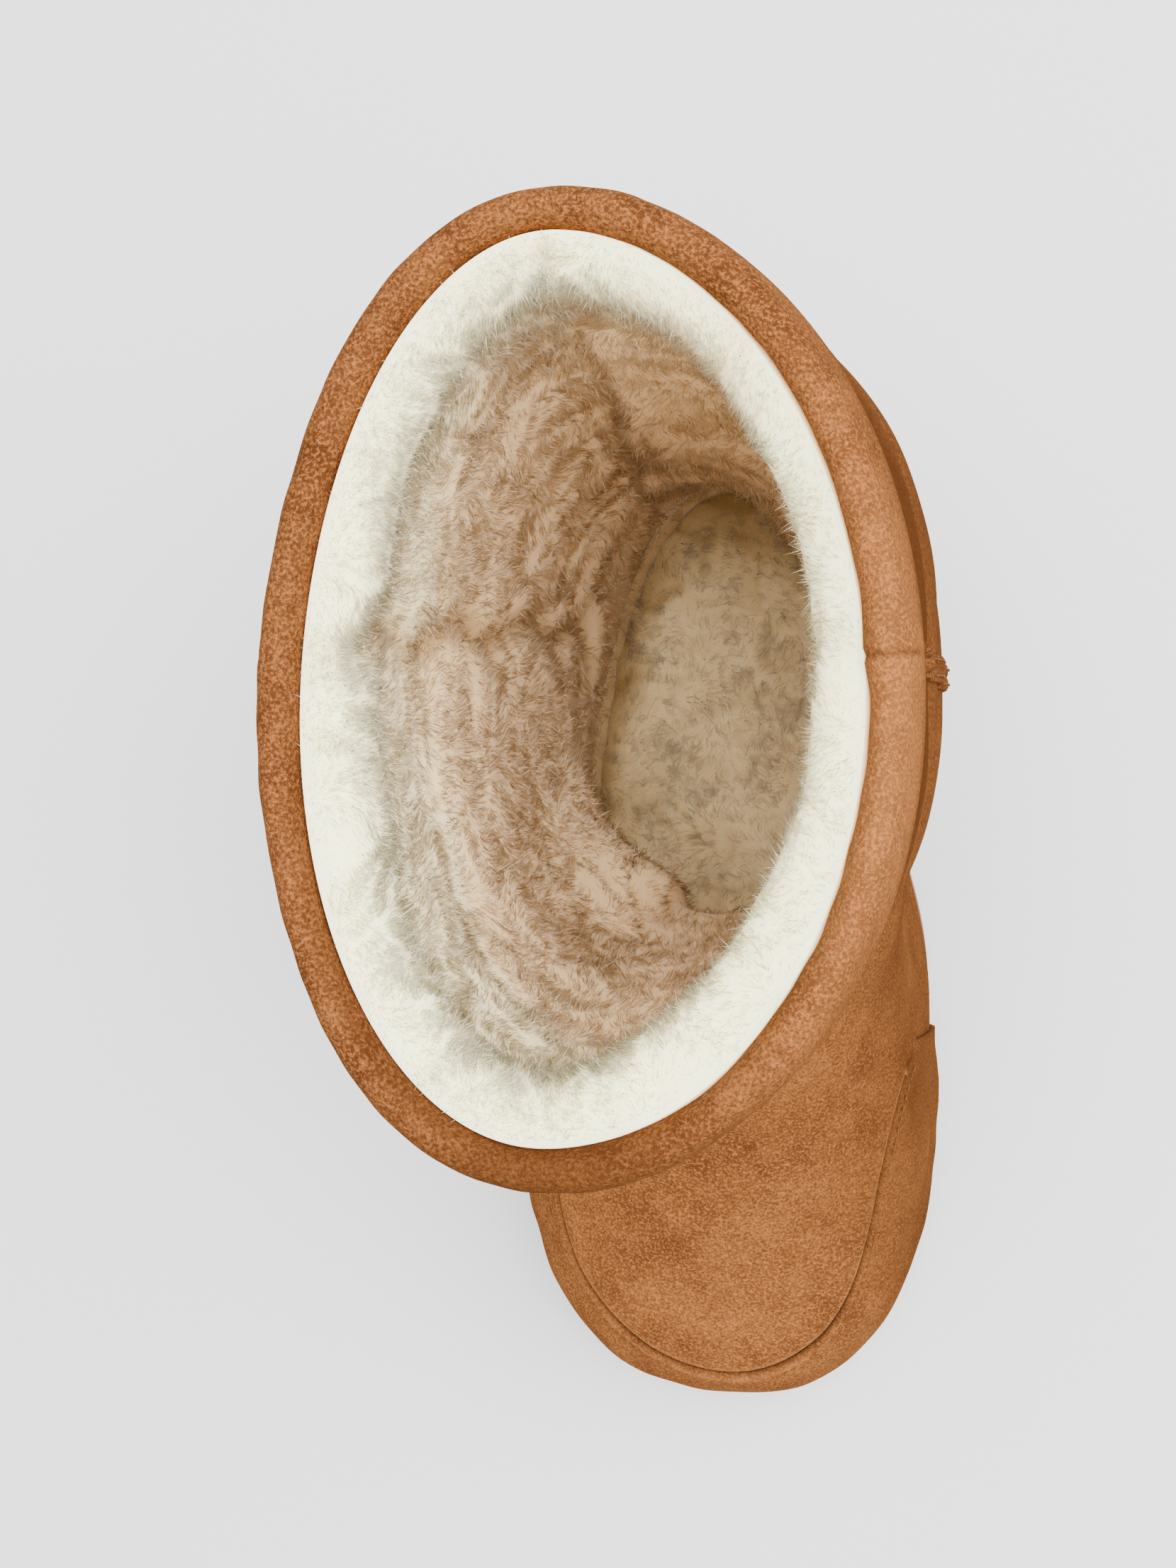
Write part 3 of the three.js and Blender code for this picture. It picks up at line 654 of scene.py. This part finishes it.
# Cross-section of the binding: distance out from the skin, and height above the wall's edge
BINDING_SECTION = np.array([
    [0.35, -14.0], [0.9, -14.0], [1.6, -13.8], [2.1, -13.0], [2.3, -11.0], [2.32, -8.0], [2.3, -5.0],
    [2.25, -2.6], [2.05, -0.8], [1.6, 0.7], [0.9, 1.75], [0.0, 2.4], [-1.25, 2.72], [-2.5, 2.45],
    [-3.4, 1.8], [-4.1, 0.8], [-4.55, -0.7], [-4.72, -2.4], [-4.68, -4.2], [-4.45, -5.5],
    [-3.9, -6.0], [-3.3, -6.0], [-2.85, -6.0], [-2.85, -3.0], [-2.85, 0.35], [-1.2, 0.35],
    [0.35, 0.35], [0.35, -6.0],
])


def make_binding():
    """The section above carried round the collar. It is drawn in where the side seams cross it, and
    its crown wanders a little as a hand-sewn strip does. It has a painted highlight on the inner
    side, painted shade at the front and a painted shadow on the slope that faces the wool there."""
    columns = 420
    angle = round_angles(columns)
    out, up = BINDING_SECTION[:, :1], BINDING_SECTION[:, 1:]
    turn = np.broadcast_to(angle, (len(out), columns))
    level = UPPER_TOP + np.minimum(up, 0) + 0 * turn
    outline = skin(turn, level)
    crown = smooth(-13, -6, up)
    wander = crown * (0.28 * waves(outline, 34, 31) + 0.12 * waves(outline, 9, 32))
    station = outline[..., 1] - SEAM_STATION
    inward = np.where(turn < math.pi, 1.0, 0.25)
    joined = crown * bell(station, 0.5) * inward
    swollen = crown * bell(station, 5.5) * inward
    away = np.array([out + 1.2, up + 3.0])
    away = away / np.linalg.norm(away, axis=0)
    proud = wander + 0.6 * swollen - 0.5 * joined
    points = skin(turn, level, out + away[0] * proud)
    points[..., 2] = UPPER_TOP + up + away[1] * proud
    edge = np.clip(bell(out - 2.3, 0.35) * bell(up + 12.6, 1.4), 0, 1) + 0 * turn
    # Painted shadow on the slope that faces the wool, at the front and the lateral side.
    inner = 0.55 * smooth(-0.3, -3.6, out) * bell(signed(turn) + 0.35, 1.1)
    shade = np.maximum(painted_shade_share(turn, level), inner)
    # Painted highlight on the crown on the medial side, and a lighter line along the outer leg's lower
    # edge.
    worn = 0.12 * edge + 0.2 * bell(signed(turn) - 1.5, 0.6) * crown
    # Painted shade in the dents where the side seams cross.
    add_piece("collar_binding_suede", points, grid_quads(len(out), columns, close_rows=True),
              binding_suede, "binding_suede", replaces=("collar_binding",),
              groove=0.5 * joined + 0 * turn, worn=worn, shade=shade)


def make_side_seam(name, cad_node, sign, knob):
    """Raised strip down the side, rounded across, with a fine valley along its middle, that ends
    under the binding in a small knob where the seam's layers are gathered. Its back is sunk into
    the suede wall."""
    rows, half = 140, SEAM_WIDTH / 2
    across = np.array([-1, -0.94, -0.8, -0.55, -0.25, -0.1, 0, 0.1, 0.25, 0.55, 0.8, 0.94, 1])
    lift = np.array([0.25, 0.6, 0.88, 1.0, 0.96, 0.8, 0.62, 0.8, 0.96, 1.0, 0.88, 0.6, 0.25])
    middle = angle_at(sign, SEAM_STATION, HEEL_THICKNESS * 2)
    low = float(over_sole(middle, CLEARANCE + 0.2))
    top = UPPER_TOP - BINDING_OUTER_DROP - CLEARANCE
    height = np.linspace(low, top, rows)[:, None]
    turn = np.stack([angle_at(sign, SEAM_STATION + a * half, height[:, 0]) for a in across], 1)
    level = np.broadcast_to(height, turn.shape)
    gathered = knob * bell(height - top + 3.0, 4.5)
    hand = 0.06 * waves(skin(turn, level), 9, 41 + sign)
    thick = (0.55 * SEAM_THICKNESS + gathered) * lift + hand
    dent = creased(turn, level)
    outer = skin(turn, level, dent + CLEARANCE + thick)
    inner = skin(turn, level, dent - STRIP_SUNK)[:, ::-1]
    rings = np.concatenate([outer, inner], 1)
    # Painted shade along the middle valley.
    valley = np.concatenate([0.45 * (across == 0), np.zeros(len(across))])
    if sign < 0:
        rings, valley = rings[:, ::-1], valley[::-1]
    groove = np.append(np.tile(valley, rows), [0, 0])
    # The medial strip carries painted shade, as the medial side does.
    add_chain(name, rings, binding_suede, "binding_suede", replaces=(cad_node,), groove=groove,
              worn=0 * groove, shade=0 * groove + (0.3 if sign > 0 else 0.0))


def add_stitches(name, middles, along, outwards, length, radius, slot):
    """One short rounded thread for each middle: six-sided rings that narrow to both ends, lying
    along the seam and bowed slightly outwards."""
    sides = np.arange(6) / 6 * 2 * math.pi
    place = np.array([-0.5, -0.36, 0.0, 0.36, 0.5])
    girth = np.array([0.25, 0.85, 1.0, 0.85, 0.25])
    across = unit(np.cross(outwards, along))
    bow = 0.35 * radius * (1 - (2 * place) ** 2)
    spine = middles[:, None] + along[:, None] * (place * length)[:, None] + outwards[:, None] * bow[:, None]
    ring = np.cos(sides)[:, None] * across[:, None, None] + np.sin(sides)[:, None] * outwards[:, None, None]
    points = spine[:, :, None] + ring * (girth * radius)[:, None, None]
    caps = np.array([[3, 2, 1, 0], [5, 4, 3, 0]])
    far = caps[:, ::-1] + (len(place) - 1) * len(sides)
    one = np.concatenate([grid_quads(len(place), len(sides)).reshape(-1, 4), caps, far])
    first = np.arange(len(middles)) * len(place) * len(sides)
    add_piece(name, points, one + first[:, None, None], thread, slot)


def evenly(points, spacing):
    """Points at an even spacing along a line of points."""
    run = np.append(0, np.cumsum(np.linalg.norm(np.diff(points, axis=0), axis=1)))
    at = np.arange(spacing, run[-1] - spacing / 2, spacing)
    return np.stack([np.interp(at, run, points[:, k]) for k in range(points.shape[1])], 1)


def stitch_places(turn, height, proud, spacing):
    """Middles, directions and normals of stitches along a line that stands proud of the creased skin."""
    line = skin(turn, height, creased(turn, height) + proud)
    at = evenly(np.concatenate([line, turn[:, None], height[:, None]], 1), spacing)
    return at[:, :3], unit(np.gradient(at[:, :3], axis=0)), outward(at[:, 3], at[:, 4])


def make_toe_stitches(way, top):
    """A row of stitches on the toe band just below its rolled edge."""
    level = (top - 1.7)[np.abs(way) < 0.97]
    way = way[np.abs(way) < 0.97]
    turn = np.abs(way) * band_end(way, level)
    places = stitch_places(turn, level, BAND_CLEARANCE + BAND_THICKNESS + 0.32, 2.9)
    add_stitches("toe_seam_stitches", *places, 2.0, STITCH_RADIUS, "suede")


def make_seam_stitches(name, sign):
    """Two rows of stitches along a side seam, one on each shoulder of its strip."""
    found = []
    for side in (-0.55, 0.55):
        height = np.linspace(30, UPPER_TOP - BINDING_OUTER_DROP - 16, 400)
        turn = angle_at(sign, SEAM_STATION + side * SEAM_WIDTH / 2, height)
        found.append(stitch_places(turn, height, CLEARANCE + 0.56 * SEAM_THICKNESS, 3.4))
    places = (np.concatenate(parts) for parts in zip(*found))
    add_stitches(name, *places, 2.4, STITCH_RADIUS, "binding_suede")


# ---- Sole ----

SOLE_MIDDLE = np.array([-4.0, -42.0])


def star_rings(outline, shares):
    """Rings of an outline drawn in towards the sole's middle by each share."""
    return SOLE_MIDDLE + (outline[None] - SOLE_MIDDLE) * np.asarray(shares)[:, None, None]


def tread_depth(x, y):
    """Depth of the waved grooves at a point of the bottom, inside a plain border."""
    depth = np.zeros(np.shape(y))
    stations = np.concatenate([
        np.arange(-SPRING_START, -ARCH_MIDDLE - ARCH_HALF_LENGTH, TREAD_PITCH),
        np.arange(2 * TREAD_PITCH, HEEL_REACH - HEEL_BEVEL_LENGTH - TREAD_MARGIN, TREAD_PITCH)])
    half = TREAD_WIDTH / 2
    for station in stations:
        left = face(angle_at(-1, station, OUTLINE_HEIGHT), OUTLINE_HEIGHT)[..., 0] + TREAD_MARGIN
        right = face(angle_at(1, station, OUTLINE_HEIGHT), OUTLINE_HEIGHT)[..., 0] - TREAD_MARGIN
        wave = (x - left) / (right - left) * 6
        path = station + half - TREAD_WAVE / 2 * (2 * np.abs((wave % 2) - 1) - 1)
        inside = smooth(left - 0.5, left + 0.5, x) * smooth(right + 0.5, right - 0.5, x)
        depth = np.maximum(depth, inside * smooth(half + 0.35, half - 0.35, np.abs(y - path)))
    return TREAD_DEPTH * depth


def make_outsole():
    """Rings from the middle of the tread out to the edge, up the side with its groove, and in over
    the top. Columns of the side's table: distance out from the outline, rise from the bottom (0) or
    drop from the top (1), and which of the two."""
    angle = round_angles(290)
    line = SOLE_LINE_HEIGHT
    side = np.array([
        [-SOLE_EDGE_BEVEL, 0, 0], [-1.7, 0.35, 0], [-0.8, 1.1, 0], [-0.25, 2.0, 0], [0, 3.1, 0],
        [0.05, line - 0.6, 0], [-0.15, line - 0.15, 0], [-SOLE_LINE_DEPTH, line + 0.15, 0],
        [-SOLE_LINE_DEPTH, line + SOLE_LINE_WIDTH - 0.15, 0], [-0.15, line + SOLE_LINE_WIDTH + 0.15, 0],
        [0.2, line + SOLE_LINE_WIDTH + 0.8, 0], [0.4, 6.0, 1], [0.4, 4.2, 1], [0.35, 2.6, 1],
        [0.15, 1.4, 1], [-0.3, 0.5, 1], [-0.8, 0.08, 1],
    ])
    base = skin(angle, OUTLINE_HEIGHT + 0 * angle)[:, :2]
    square = unit(outward(angle, OUTLINE_HEIGHT + 0 * angle)[:, :2])
    rings, cut = [], []
    for ring in star_rings(base - square * SOLE_EDGE_BEVEL, np.linspace(0.004, 1, 76)[:-1]):
        cut.append(tread_depth(ring[:, 0], ring[:, 1]))
        rings.append(with_height(ring, sole_bottom(ring[:, 1]) + cut[-1]))
    for proud, rise, from_top in side:
        ring = base + square * proud
        level = sole_top(ring[:, 1]) - rise if from_top else sole_bottom(ring[:, 1]) + rise
        rings.append(with_height(ring, level))
    for ring in star_rings(base - square * 0.8, np.linspace(1, 0.02, 14)[1:]):
        rings.append(with_height(ring, sole_top(ring[:, 1])))
    rings = np.array(rings)
    # Painted shade in the tread grooves, deeper with their depth, and in the side groove.
    groove = leading(0.55 * np.array(cut) / TREAD_DEPTH, len(rings))
    groove[len(cut) + 7:len(cut) + 9] = 0.7
    add_chain("outsole_foam", rings[:, ::-1], foam, "sole_foam", replaces=("outsole",),
              groove=np.append(groove[:, ::-1], [0, 0]))


# ---- Fleece ----

# Thick places of the pile. Columns: angle in degrees, height, half width, half height, amount.
SWELLS = [
    [40, 308, 34, 16, 3.6],
    [-62, 236, 36, 52, 3.0],
    [-40, 142, 26, 30, 11.0],
    [2, 136, 34, 26, 8.0],
    [-125, 72, 46, 56, -5.5],
]

# Partings of the pile. Columns: angle in degrees and height at the start and at the end, half
# width and depth.
PARTINGS = [
    [-97, 316, -112, 110, 2.8, 3.6],
    [178, 306, -172, 232, 2.8, 1.5],
    [-172, 232, -148, 96, 2.8, 2.3],
    [97, 312, 106, 150, 2.2, 2.0],
    [-112, 168, -160, 150, 2.4, 2.6],
]

# Height at which the wool's painted shade has turned half from cream to tan, by angle in degrees
TAN_LINE = np.array([[-180, 302], [-150, 294], [-120, 284], [-90, 278], [-60, 264], [-30, 266], [0, 274],
                     [30, 282], [60, 290], [90, 292], [120, 296], [150, 302], [180, 302]])

PILE_TOP = UPPER_TOP - CLEARANCE
SHOULDER = 13.0
SHOULDER_SHARE = 0.9
PILE_RADIUS, PILE_GIRTH = 46.0, 289.0
PUFF, CURL = 8.5, 3.8


def pile_base(angle, share):
    """Heights and distances in from the skin along the pile's front: up the wall for shares below
    SHOULDER_SHARE, then a quarter ellipse over its shoulder to the binding's inner leg."""
    low = over_sole(angle, 2 * CLEARANCE + INSOLE_THICKNESS - 4)
    corner = PILE_TOP - SHOULDER
    turn = np.clip((share - SHOULDER_SHARE) / 0.1, 0, 1) * math.pi / 2
    climb = low + (corner - low) * np.clip(share / SHOULDER_SHARE, 0, 1)
    height = np.where(share < SHOULDER_SHARE, climb, corner + SHOULDER * np.sin(turn))
    step = (BINDING_THICKNESS + CLEARANCE) * smooth(corner, PILE_TOP, height)
    return height, UPPER_WALL + CLEARANCE + step + PILE_DEPTH * np.cos(turn)


def parting(angle, height):
    """Depth of the partings at a point: a bell across each line of PARTINGS, faded at its ends."""
    total = np.zeros(np.shape(angle))
    for a0, h0, a1, h1, width, depth in PARTINGS:
        end = np.array([math.radians((a1 - a0 + 180) % 360 - 180) * PILE_RADIUS, h1 - h0])
        reach = np.linalg.norm(end)
        at = np.stack([signed(angle - math.radians(a0)) * PILE_RADIUS, height - h0], -1)
        along = at @ (end / reach)
        across = at @ (np.array([-end[1], end[0]]) / reach) + 1.6 * np.sin(along / 9)
        shown = smooth(-4, 6, along) * smooth(reach + 6, reach - 10, along)
        total = np.maximum(total, depth * bell(across, width) * shown)
    return total


def wool_cells(angle, height, points):
    """Distance to and offset of the nearest puff's middle, and distance to the nearest curl's, on
    grids bent by slow waves so that no rows show."""
    u = angle * PILE_RADIUS + 5 * waves(points, 30, 51) + 1.5 * waves(points, 11, 52)
    v = height + 6 * waves(points, 26, 53) + 1.5 * waves(points, 10, 54)
    puff, gap = tufts(u, v + 300, PILE_GIRTH, PUFF, 55)
    curl, _ = tufts(u + 0.6 * v, v + 300, PILE_GIRTH, CURL, 56)
    return puff, gap, curl


def pile_point(angle, share, rough=True):
    """Point of the pile's front. Rough, it has swells, partings, puffs and curls, which fade out
    where the pile meets the binding."""
    height, depth = pile_base(angle, share)
    if rough:
        smoothed = skin(angle, height, -depth)
        puff, _, curl = wool_cells(angle, height, smoothed)
        relief = 0.26 * (1 - 1.3 * puff**2) + 0.14 * (1 - 1.3 * curl**2) + 0.5 * waves(smoothed, 34, 57)
        for degrees, level, wide, tall, amount in SWELLS:
            u = signed(angle - math.radians(degrees)) * PILE_RADIUS
            relief = relief + amount * bell(u, wide) * bell(height - level, tall)
        relief = relief - 0.8 * parting(angle, height)
        depth = depth + relief * smooth(1.0, 0.96, share)
    return skin(angle, height, -depth)


def wool_gaps(angle, height, points, tone):
    """Share of painted shade between tufts and along the partings, with some of the underwool's own darker
    colour.
    """
    puff, _, curl = wool_cells(angle, height, points)
    between = 0.08 * smooth(0.4, 0.85, puff) + 0.05 * smooth(0.45, 0.85, curl)
    shown = 0.1 + 0.9 * tone
    return np.clip(between * shown + 0.7 * parting(angle, height) / 3.4 * (0.6 + 0.4 * tone), 0, 0.8)


def tone_at(angle, height, points):
    """Share of tan, painted shade for the dimmer light deeper in the boot: a little of it from just under
    the rim, and an S-curve down past the tan line, both ragged with the wool's own locks."""
    line = np.interp(np.degrees(signed(angle)), TAN_LINE[:, 0], TAN_LINE[:, 1])
    ragged = 6 * waves(points, 26, 61) + 4 * waves(points, 8, 62)
    warmed = 0.45 * smooth(UPPER_TOP - 7, UPPER_TOP - 22, height + 0.6 * ragged)
    return np.maximum(warmed, smooth(line + 22, line - 16, height + ragged))


def make_pile():
    """Closed body of the lining: the rough front, and a plain back behind it."""
    columns = 260
    angle = round_angles(columns)
    share = np.append(np.linspace(0, SHOULDER_SHARE, 118), np.linspace(SHOULDER_SHARE, 1, 17)[1:])[:, None]
    turn, share = np.broadcast_arrays(angle, share)
    front = pile_point(turn, share)
    height, _ = pile_base(turn, share)
    level = np.linspace(1, 0, 34)[:, None] * (height[-1] - height[0]) + height[0]
    behind = np.broadcast_to(angle, level.shape)
    step = (BINDING_THICKNESS + CLEARANCE) * (level > PILE_TOP - BINDING_INNER_DROP)
    back = skin(behind, level, creased(behind, level) - UPPER_WALL - CLEARANCE - step)
    # Painted shade: tan for the dimmer light deeper in, and darker gaps and partings.
    tone = tone_at(turn, height, front)
    crease = leading(wool_gaps(turn, height, front, tone), len(front) + len(back))
    quads = grid_quads(len(crease), columns, close_rows=True)[..., ::-1]
    add_piece("fleece_pile", np.concatenate([front, back]), quads, wool, "fleece",
              replaces=("fleece_lining",), tone=np.concatenate([tone, np.ones(level.shape)]), crease=crease)


def add_locks(name, roots, tips, width, material, slot, tone, crease):
    """Wool locks, each a slim three-sided spike from its root to a point."""
    reach = tips - roots
    side = unit(np.cross(reach, np.array([0.31, 0.53, 0.79])))
    lift = unit(np.cross(side, reach))
    corners = np.array([0, 2, 4]) * math.pi / 3
    ring = np.cos(corners)[:, None] * side[:, None] - np.sin(corners)[:, None] * lift[:, None]
    points = np.concatenate([roots[:, None] + ring * width[:, None, None] / 2, tips[:, None]], 1)
    first = (np.arange(len(roots)) * 4)[:, None, None]
    triangles = np.array([[0, 1, 3], [1, 2, 3], [2, 0, 3], [2, 1, 0]]) + first
    add_piece(name, points, None, material, slot, triangles=triangles,
              tone=np.repeat(tone, 4), crease=np.repeat(crease, 4))


def make_wall_locks(name, seed, count, low, high, length, width):
    """Locks on the pile's front between two shares of its profile, more of them on the lateral side.
    They lean down the wall and with the swirl of a slow random field, and their tips gather towards
    the middle of their tuft. At the binding they stand up and lean over its edge."""
    rng = np.random.default_rng(seed)
    angle = rng.uniform(-math.pi, math.pi, count)
    angle = angle - 0.3 * np.cos(angle)
    share = rng.uniform(low, high, count)
    point = pile_point(angle, share)
    plain = pile_point(angle, share, rough=False)
    around = unit(pile_point(angle + 0.01, share, rough=False) - plain)
    upward = unit(plain - pile_point(angle, share - 0.004, rough=False))
    normal = np.cross(upward, around)
    normal *= np.sign((normal * (np.array([0, 40, 330.0]) - plain)).sum(1))[:, None]
    height, _ = pile_base(angle, share)
    _, gap, _ = wool_cells(angle, height, plain)
    swirl = 0.8 * waves(plain, 18, seed + 2)
    stray = rng.normal(0, 0.3, (count, 2))
    lean = 0.7 - 0.45 * smooth(0.94, 1.0, share)
    aside = (swirl + stray[:, 1])[:, None]
    heading = unit(normal * 0.42 - upward * (lean + stray[:, 0])[:, None] + around * aside)
    reach = length * rng.uniform(0.6, 1.3, count) * smooth(1.06, 0.95, share)
    gather = 0.3 * (around * gap[:, :1] + upward * gap[:, 1:]) * smooth(1.0, 0.96, share)[:, None]
    roots = point - normal * 0.7
    tips = roots + heading * reach[:, None] + gather
    # Painted shade, as on the pile the locks grow from.
    tone = np.clip(tone_at(angle, height, point) + rng.normal(0, 0.05, count), 0, 1)
    crease = np.clip(wool_gaps(angle, height, plain, tone) + rng.normal(0, 0.04, count) * tone, 0, 1)
    add_locks(name, roots, tips, width * rng.uniform(0.7, 1.3, count), wool, "fleece", tone, crease)


def footbed_cells(u, v, size, seed):
    """Cells over the footbed, shifted to where none of them repeats."""
    return tufts(u + 200, v + 400, 512.0, size, seed)


def footbed_puffs(x, y):
    """Level points of the footbed, and their distance to the nearest pressed puff's middle."""
    at = np.stack([x, y, np.zeros(np.shape(x))], -1)
    return at, footbed_cells(x + 3 * waves(at, 14, 71), y + 3 * waves(at, 14, 72), 9.5, 73)[0]


def footbed_height(x, y):
    """Top of the footbed: level over the sole, dished under the heel, rough with pressed curls."""
    at, puff = footbed_puffs(x, y)
    curl, _ = footbed_cells(x, y + waves(at, 8, 75), CURL, 76)
    dish = 2.0 * bell(x + 2, 26) * bell(y - 38, 40)
    relief = 1.8 * (1 - 1.3 * puff**2) + 0.5 * (1 - 1.3 * curl**2) + 0.8 * waves(at, 30, 74)
    return sole_top(y) + CLEARANCE + INSOLE_THICKNESS - dish + relief


def footbed_gaps(x, y):
    """Share of painted shade between the footbed's puffs, with some of the underwool's own darker colour,
    over a slow random darkening.
    """
    at, puff = footbed_puffs(x, y)
    return 0.34 * smooth(0.35, 0.85, puff) + 0.12 * (1 + waves(at, 24, 78))


def make_footbed():
    """Rings of the sole's outline inside the wall, drawn in towards the middle over the top."""
    angle = round_angles(210)
    base = skin(angle, over_sole(angle, CLEARANCE), -UPPER_WALL - CLEARANCE)
    rings = [with_height(ring, sole_top(ring[:, 1]) + CLEARANCE)
             for ring in star_rings(base[:, :2], [0.02, 0.5])]
    rings += [base + [0, 0, share * INSOLE_THICKNESS] for share in (0, 0, 0.3, 0.6, 0.85)]
    rings += [with_height(ring, footbed_height(ring[:, 0], ring[:, 1]))
              for ring in star_rings(base[:, :2], np.linspace(0.985, 0.01, 64))]
    rings = np.array(rings)
    reach = np.linalg.norm(rings[..., :2] - SOLE_MIDDLE, axis=-1)
    edge = np.clip(reach / np.linalg.norm(base[None, :, :2] - SOLE_MIDDLE, axis=-1), 0, 1)
    # Painted shade near the wall and between the puffs; the footbed's tan share is painted shade for its
    # depth.
    crease = 0.7 * smooth(0.7, 0.88, edge) + footbed_gaps(rings[..., 0], rings[..., 1])
    add_chain("footbed_fleece", rings[:, ::-1], footbed_wool, "footbed_fleece", replaces=("insole",),
              tone=np.full(crease.size + 2, 0.9), crease=np.append(crease[:, ::-1], [0, 0]))


def make_footbed_locks(name, seed, count):
    """Short locks lying flat on the footbed in a slow swirl, thickest under the heel and waist."""
    rng = np.random.default_rng(seed)
    angle = rng.uniform(0, 2 * math.pi, count)
    share = np.sqrt(rng.uniform(0, 0.8, count))
    edge = skin(angle, over_sole(angle, CLEARANCE), -UPPER_WALL - CLEARANCE)[:, :2]
    at = SOLE_MIDDLE + (edge - SOLE_MIDDLE) * share[:, None]
    point = with_height(at, footbed_height(at[:, 0], at[:, 1]))
    upright = np.broadcast_to([0.0, 0.0, 1.0], point.shape)
    swirl = 2.6 * waves(point * [1, 1, 0], 40, seed + 1) + rng.normal(0, 0.5, count)
    flat = np.stack([np.cos(swirl), np.sin(swirl), np.zeros(count)], 1)
    heading = upright * 0.6 + flat * 0.8
    reach = 4.8 * rng.uniform(0.6, 1.3, count)
    _, gap = footbed_cells(at[:, 0], at[:, 1], 4.8, seed + 3)
    roots = point - upright * 1.2
    tips = roots + heading * reach[:, None] + 0.5 * with_height(gap, np.zeros(count))
    # Painted shade: tan for the depth, darker near the wall and between the puffs.
    tone = np.clip(0.85 + rng.normal(0, 0.1, count), 0, 1)
    crease = 0.6 * smooth(0.7, 0.88, share) + 0.8 * footbed_gaps(at[:, 0], at[:, 1])
    crease = np.clip(crease + rng.normal(0, 0.07, count), 0, 1)
    width = 0.46 * rng.uniform(0.7, 1.3, count)
    add_locks(name, roots, tips, width, footbed_wool, "footbed_fleece", tone, crease)


# Locks on the pile. Columns: name, seed, count, lowest and highest share of the pile's profile,
# length and width.
WALL_LOCKS = [
    ("fleece_locks_rim", 101, 30000, 0.915, 0.997, 3.2, 0.3),
    ("fleece_locks_collar", 111, 30000, 0.8, 0.92, 3.4, 0.32),
    ("fleece_locks_shaft", 121, 47000, 0.42, 0.81, 3.7, 0.36),
    ("fleece_locks_foot", 131, 25000, 0.0, 0.43, 4.0, 0.42),
]

make_upper()
make_toe_stitches(*make_toe_band())
make_binding()
make_side_seam("side_seam_medial_strip", "side_seam_medial", 1, 2.0)
make_side_seam("side_seam_lateral_strip", "side_seam_lateral", -1, 0.8)
make_seam_stitches("side_seam_medial_stitches", 1)
make_seam_stitches("side_seam_lateral_stitches", -1)
make_outsole()
make_pile()
make_footbed()
for row in WALL_LOCKS:
    make_wall_locks(*row)
make_footbed_locks("footbed_locks", 141, 16000)


# ---- Floor, light and camera ----

def make_floor():
    """A level sheet far wider than the camera sees."""
    reach = 4.0
    corners = [(-reach, -reach, 0), (reach, -reach, 0), (reach, reach, 0), (-reach, reach, 0)]
    mesh = bpy.data.meshes.new("studio_floor")
    mesh.from_pydata(corners, [], [(0, 1, 2, 3)])
    mesh.materials.append(paper_sweep("studio_paper"))
    floor = bpy.data.objects.new("studio_floor", mesh)
    bpy.context.scene.collection.objects.link(floor)


def add_light(name, place, aim, size, watts):
    """A white square soft box at a place in metres, turned to face its aim."""
    lamp = bpy.data.lights.new(name, "AREA")
    lamp.shape = "SQUARE"
    lamp.size = size
    lamp.energy = watts
    holder = bpy.data.objects.new(name, lamp)
    holder.location = place
    holder.rotation_euler = (Vector(aim) - Vector(place)).to_track_quat("-Z", "Y").to_euler()
    bpy.context.scene.collection.objects.link(holder)


def make_sky(strength):
    """Even white light from all round."""
    world = bpy.data.worlds.new("studio_sky")
    world.use_nodes = True
    world.node_tree.nodes["Background"].inputs["Color"].default_value = colour("#ffffff")
    world.node_tree.nodes["Background"].inputs["Strength"].default_value = strength
    bpy.context.scene.world = world


def make_camera():
    """The photograph's eye stands 0.69 m up, just off the boot's inner side, and looks down; here
    it turns to the one boot and closes in on it."""
    eye = Vector((0.0715, 0.0349, 0.690))
    lens = bpy.data.cameras.new("camera")
    lens.sensor_width = 36.0
    lens.lens = 56.0
    lens.clip_start = 0.01
    camera = bpy.data.objects.new("camera", lens)
    camera.location = eye
    camera.rotation_euler = (0.0, math.radians(9.92), 0.0)
    bpy.context.scene.collection.objects.link(camera)
    bpy.context.scene.camera = camera


make_floor()
make_sky(2.1)
add_light("soft_box_above", (0.24, 0.14, 1.9), (0, 0, 0.1), 0.9, 64)
add_light("soft_box_side", (0.85, 0.3, 1.65), (0, 0, 0.2), 1.4, 56)
make_camera()
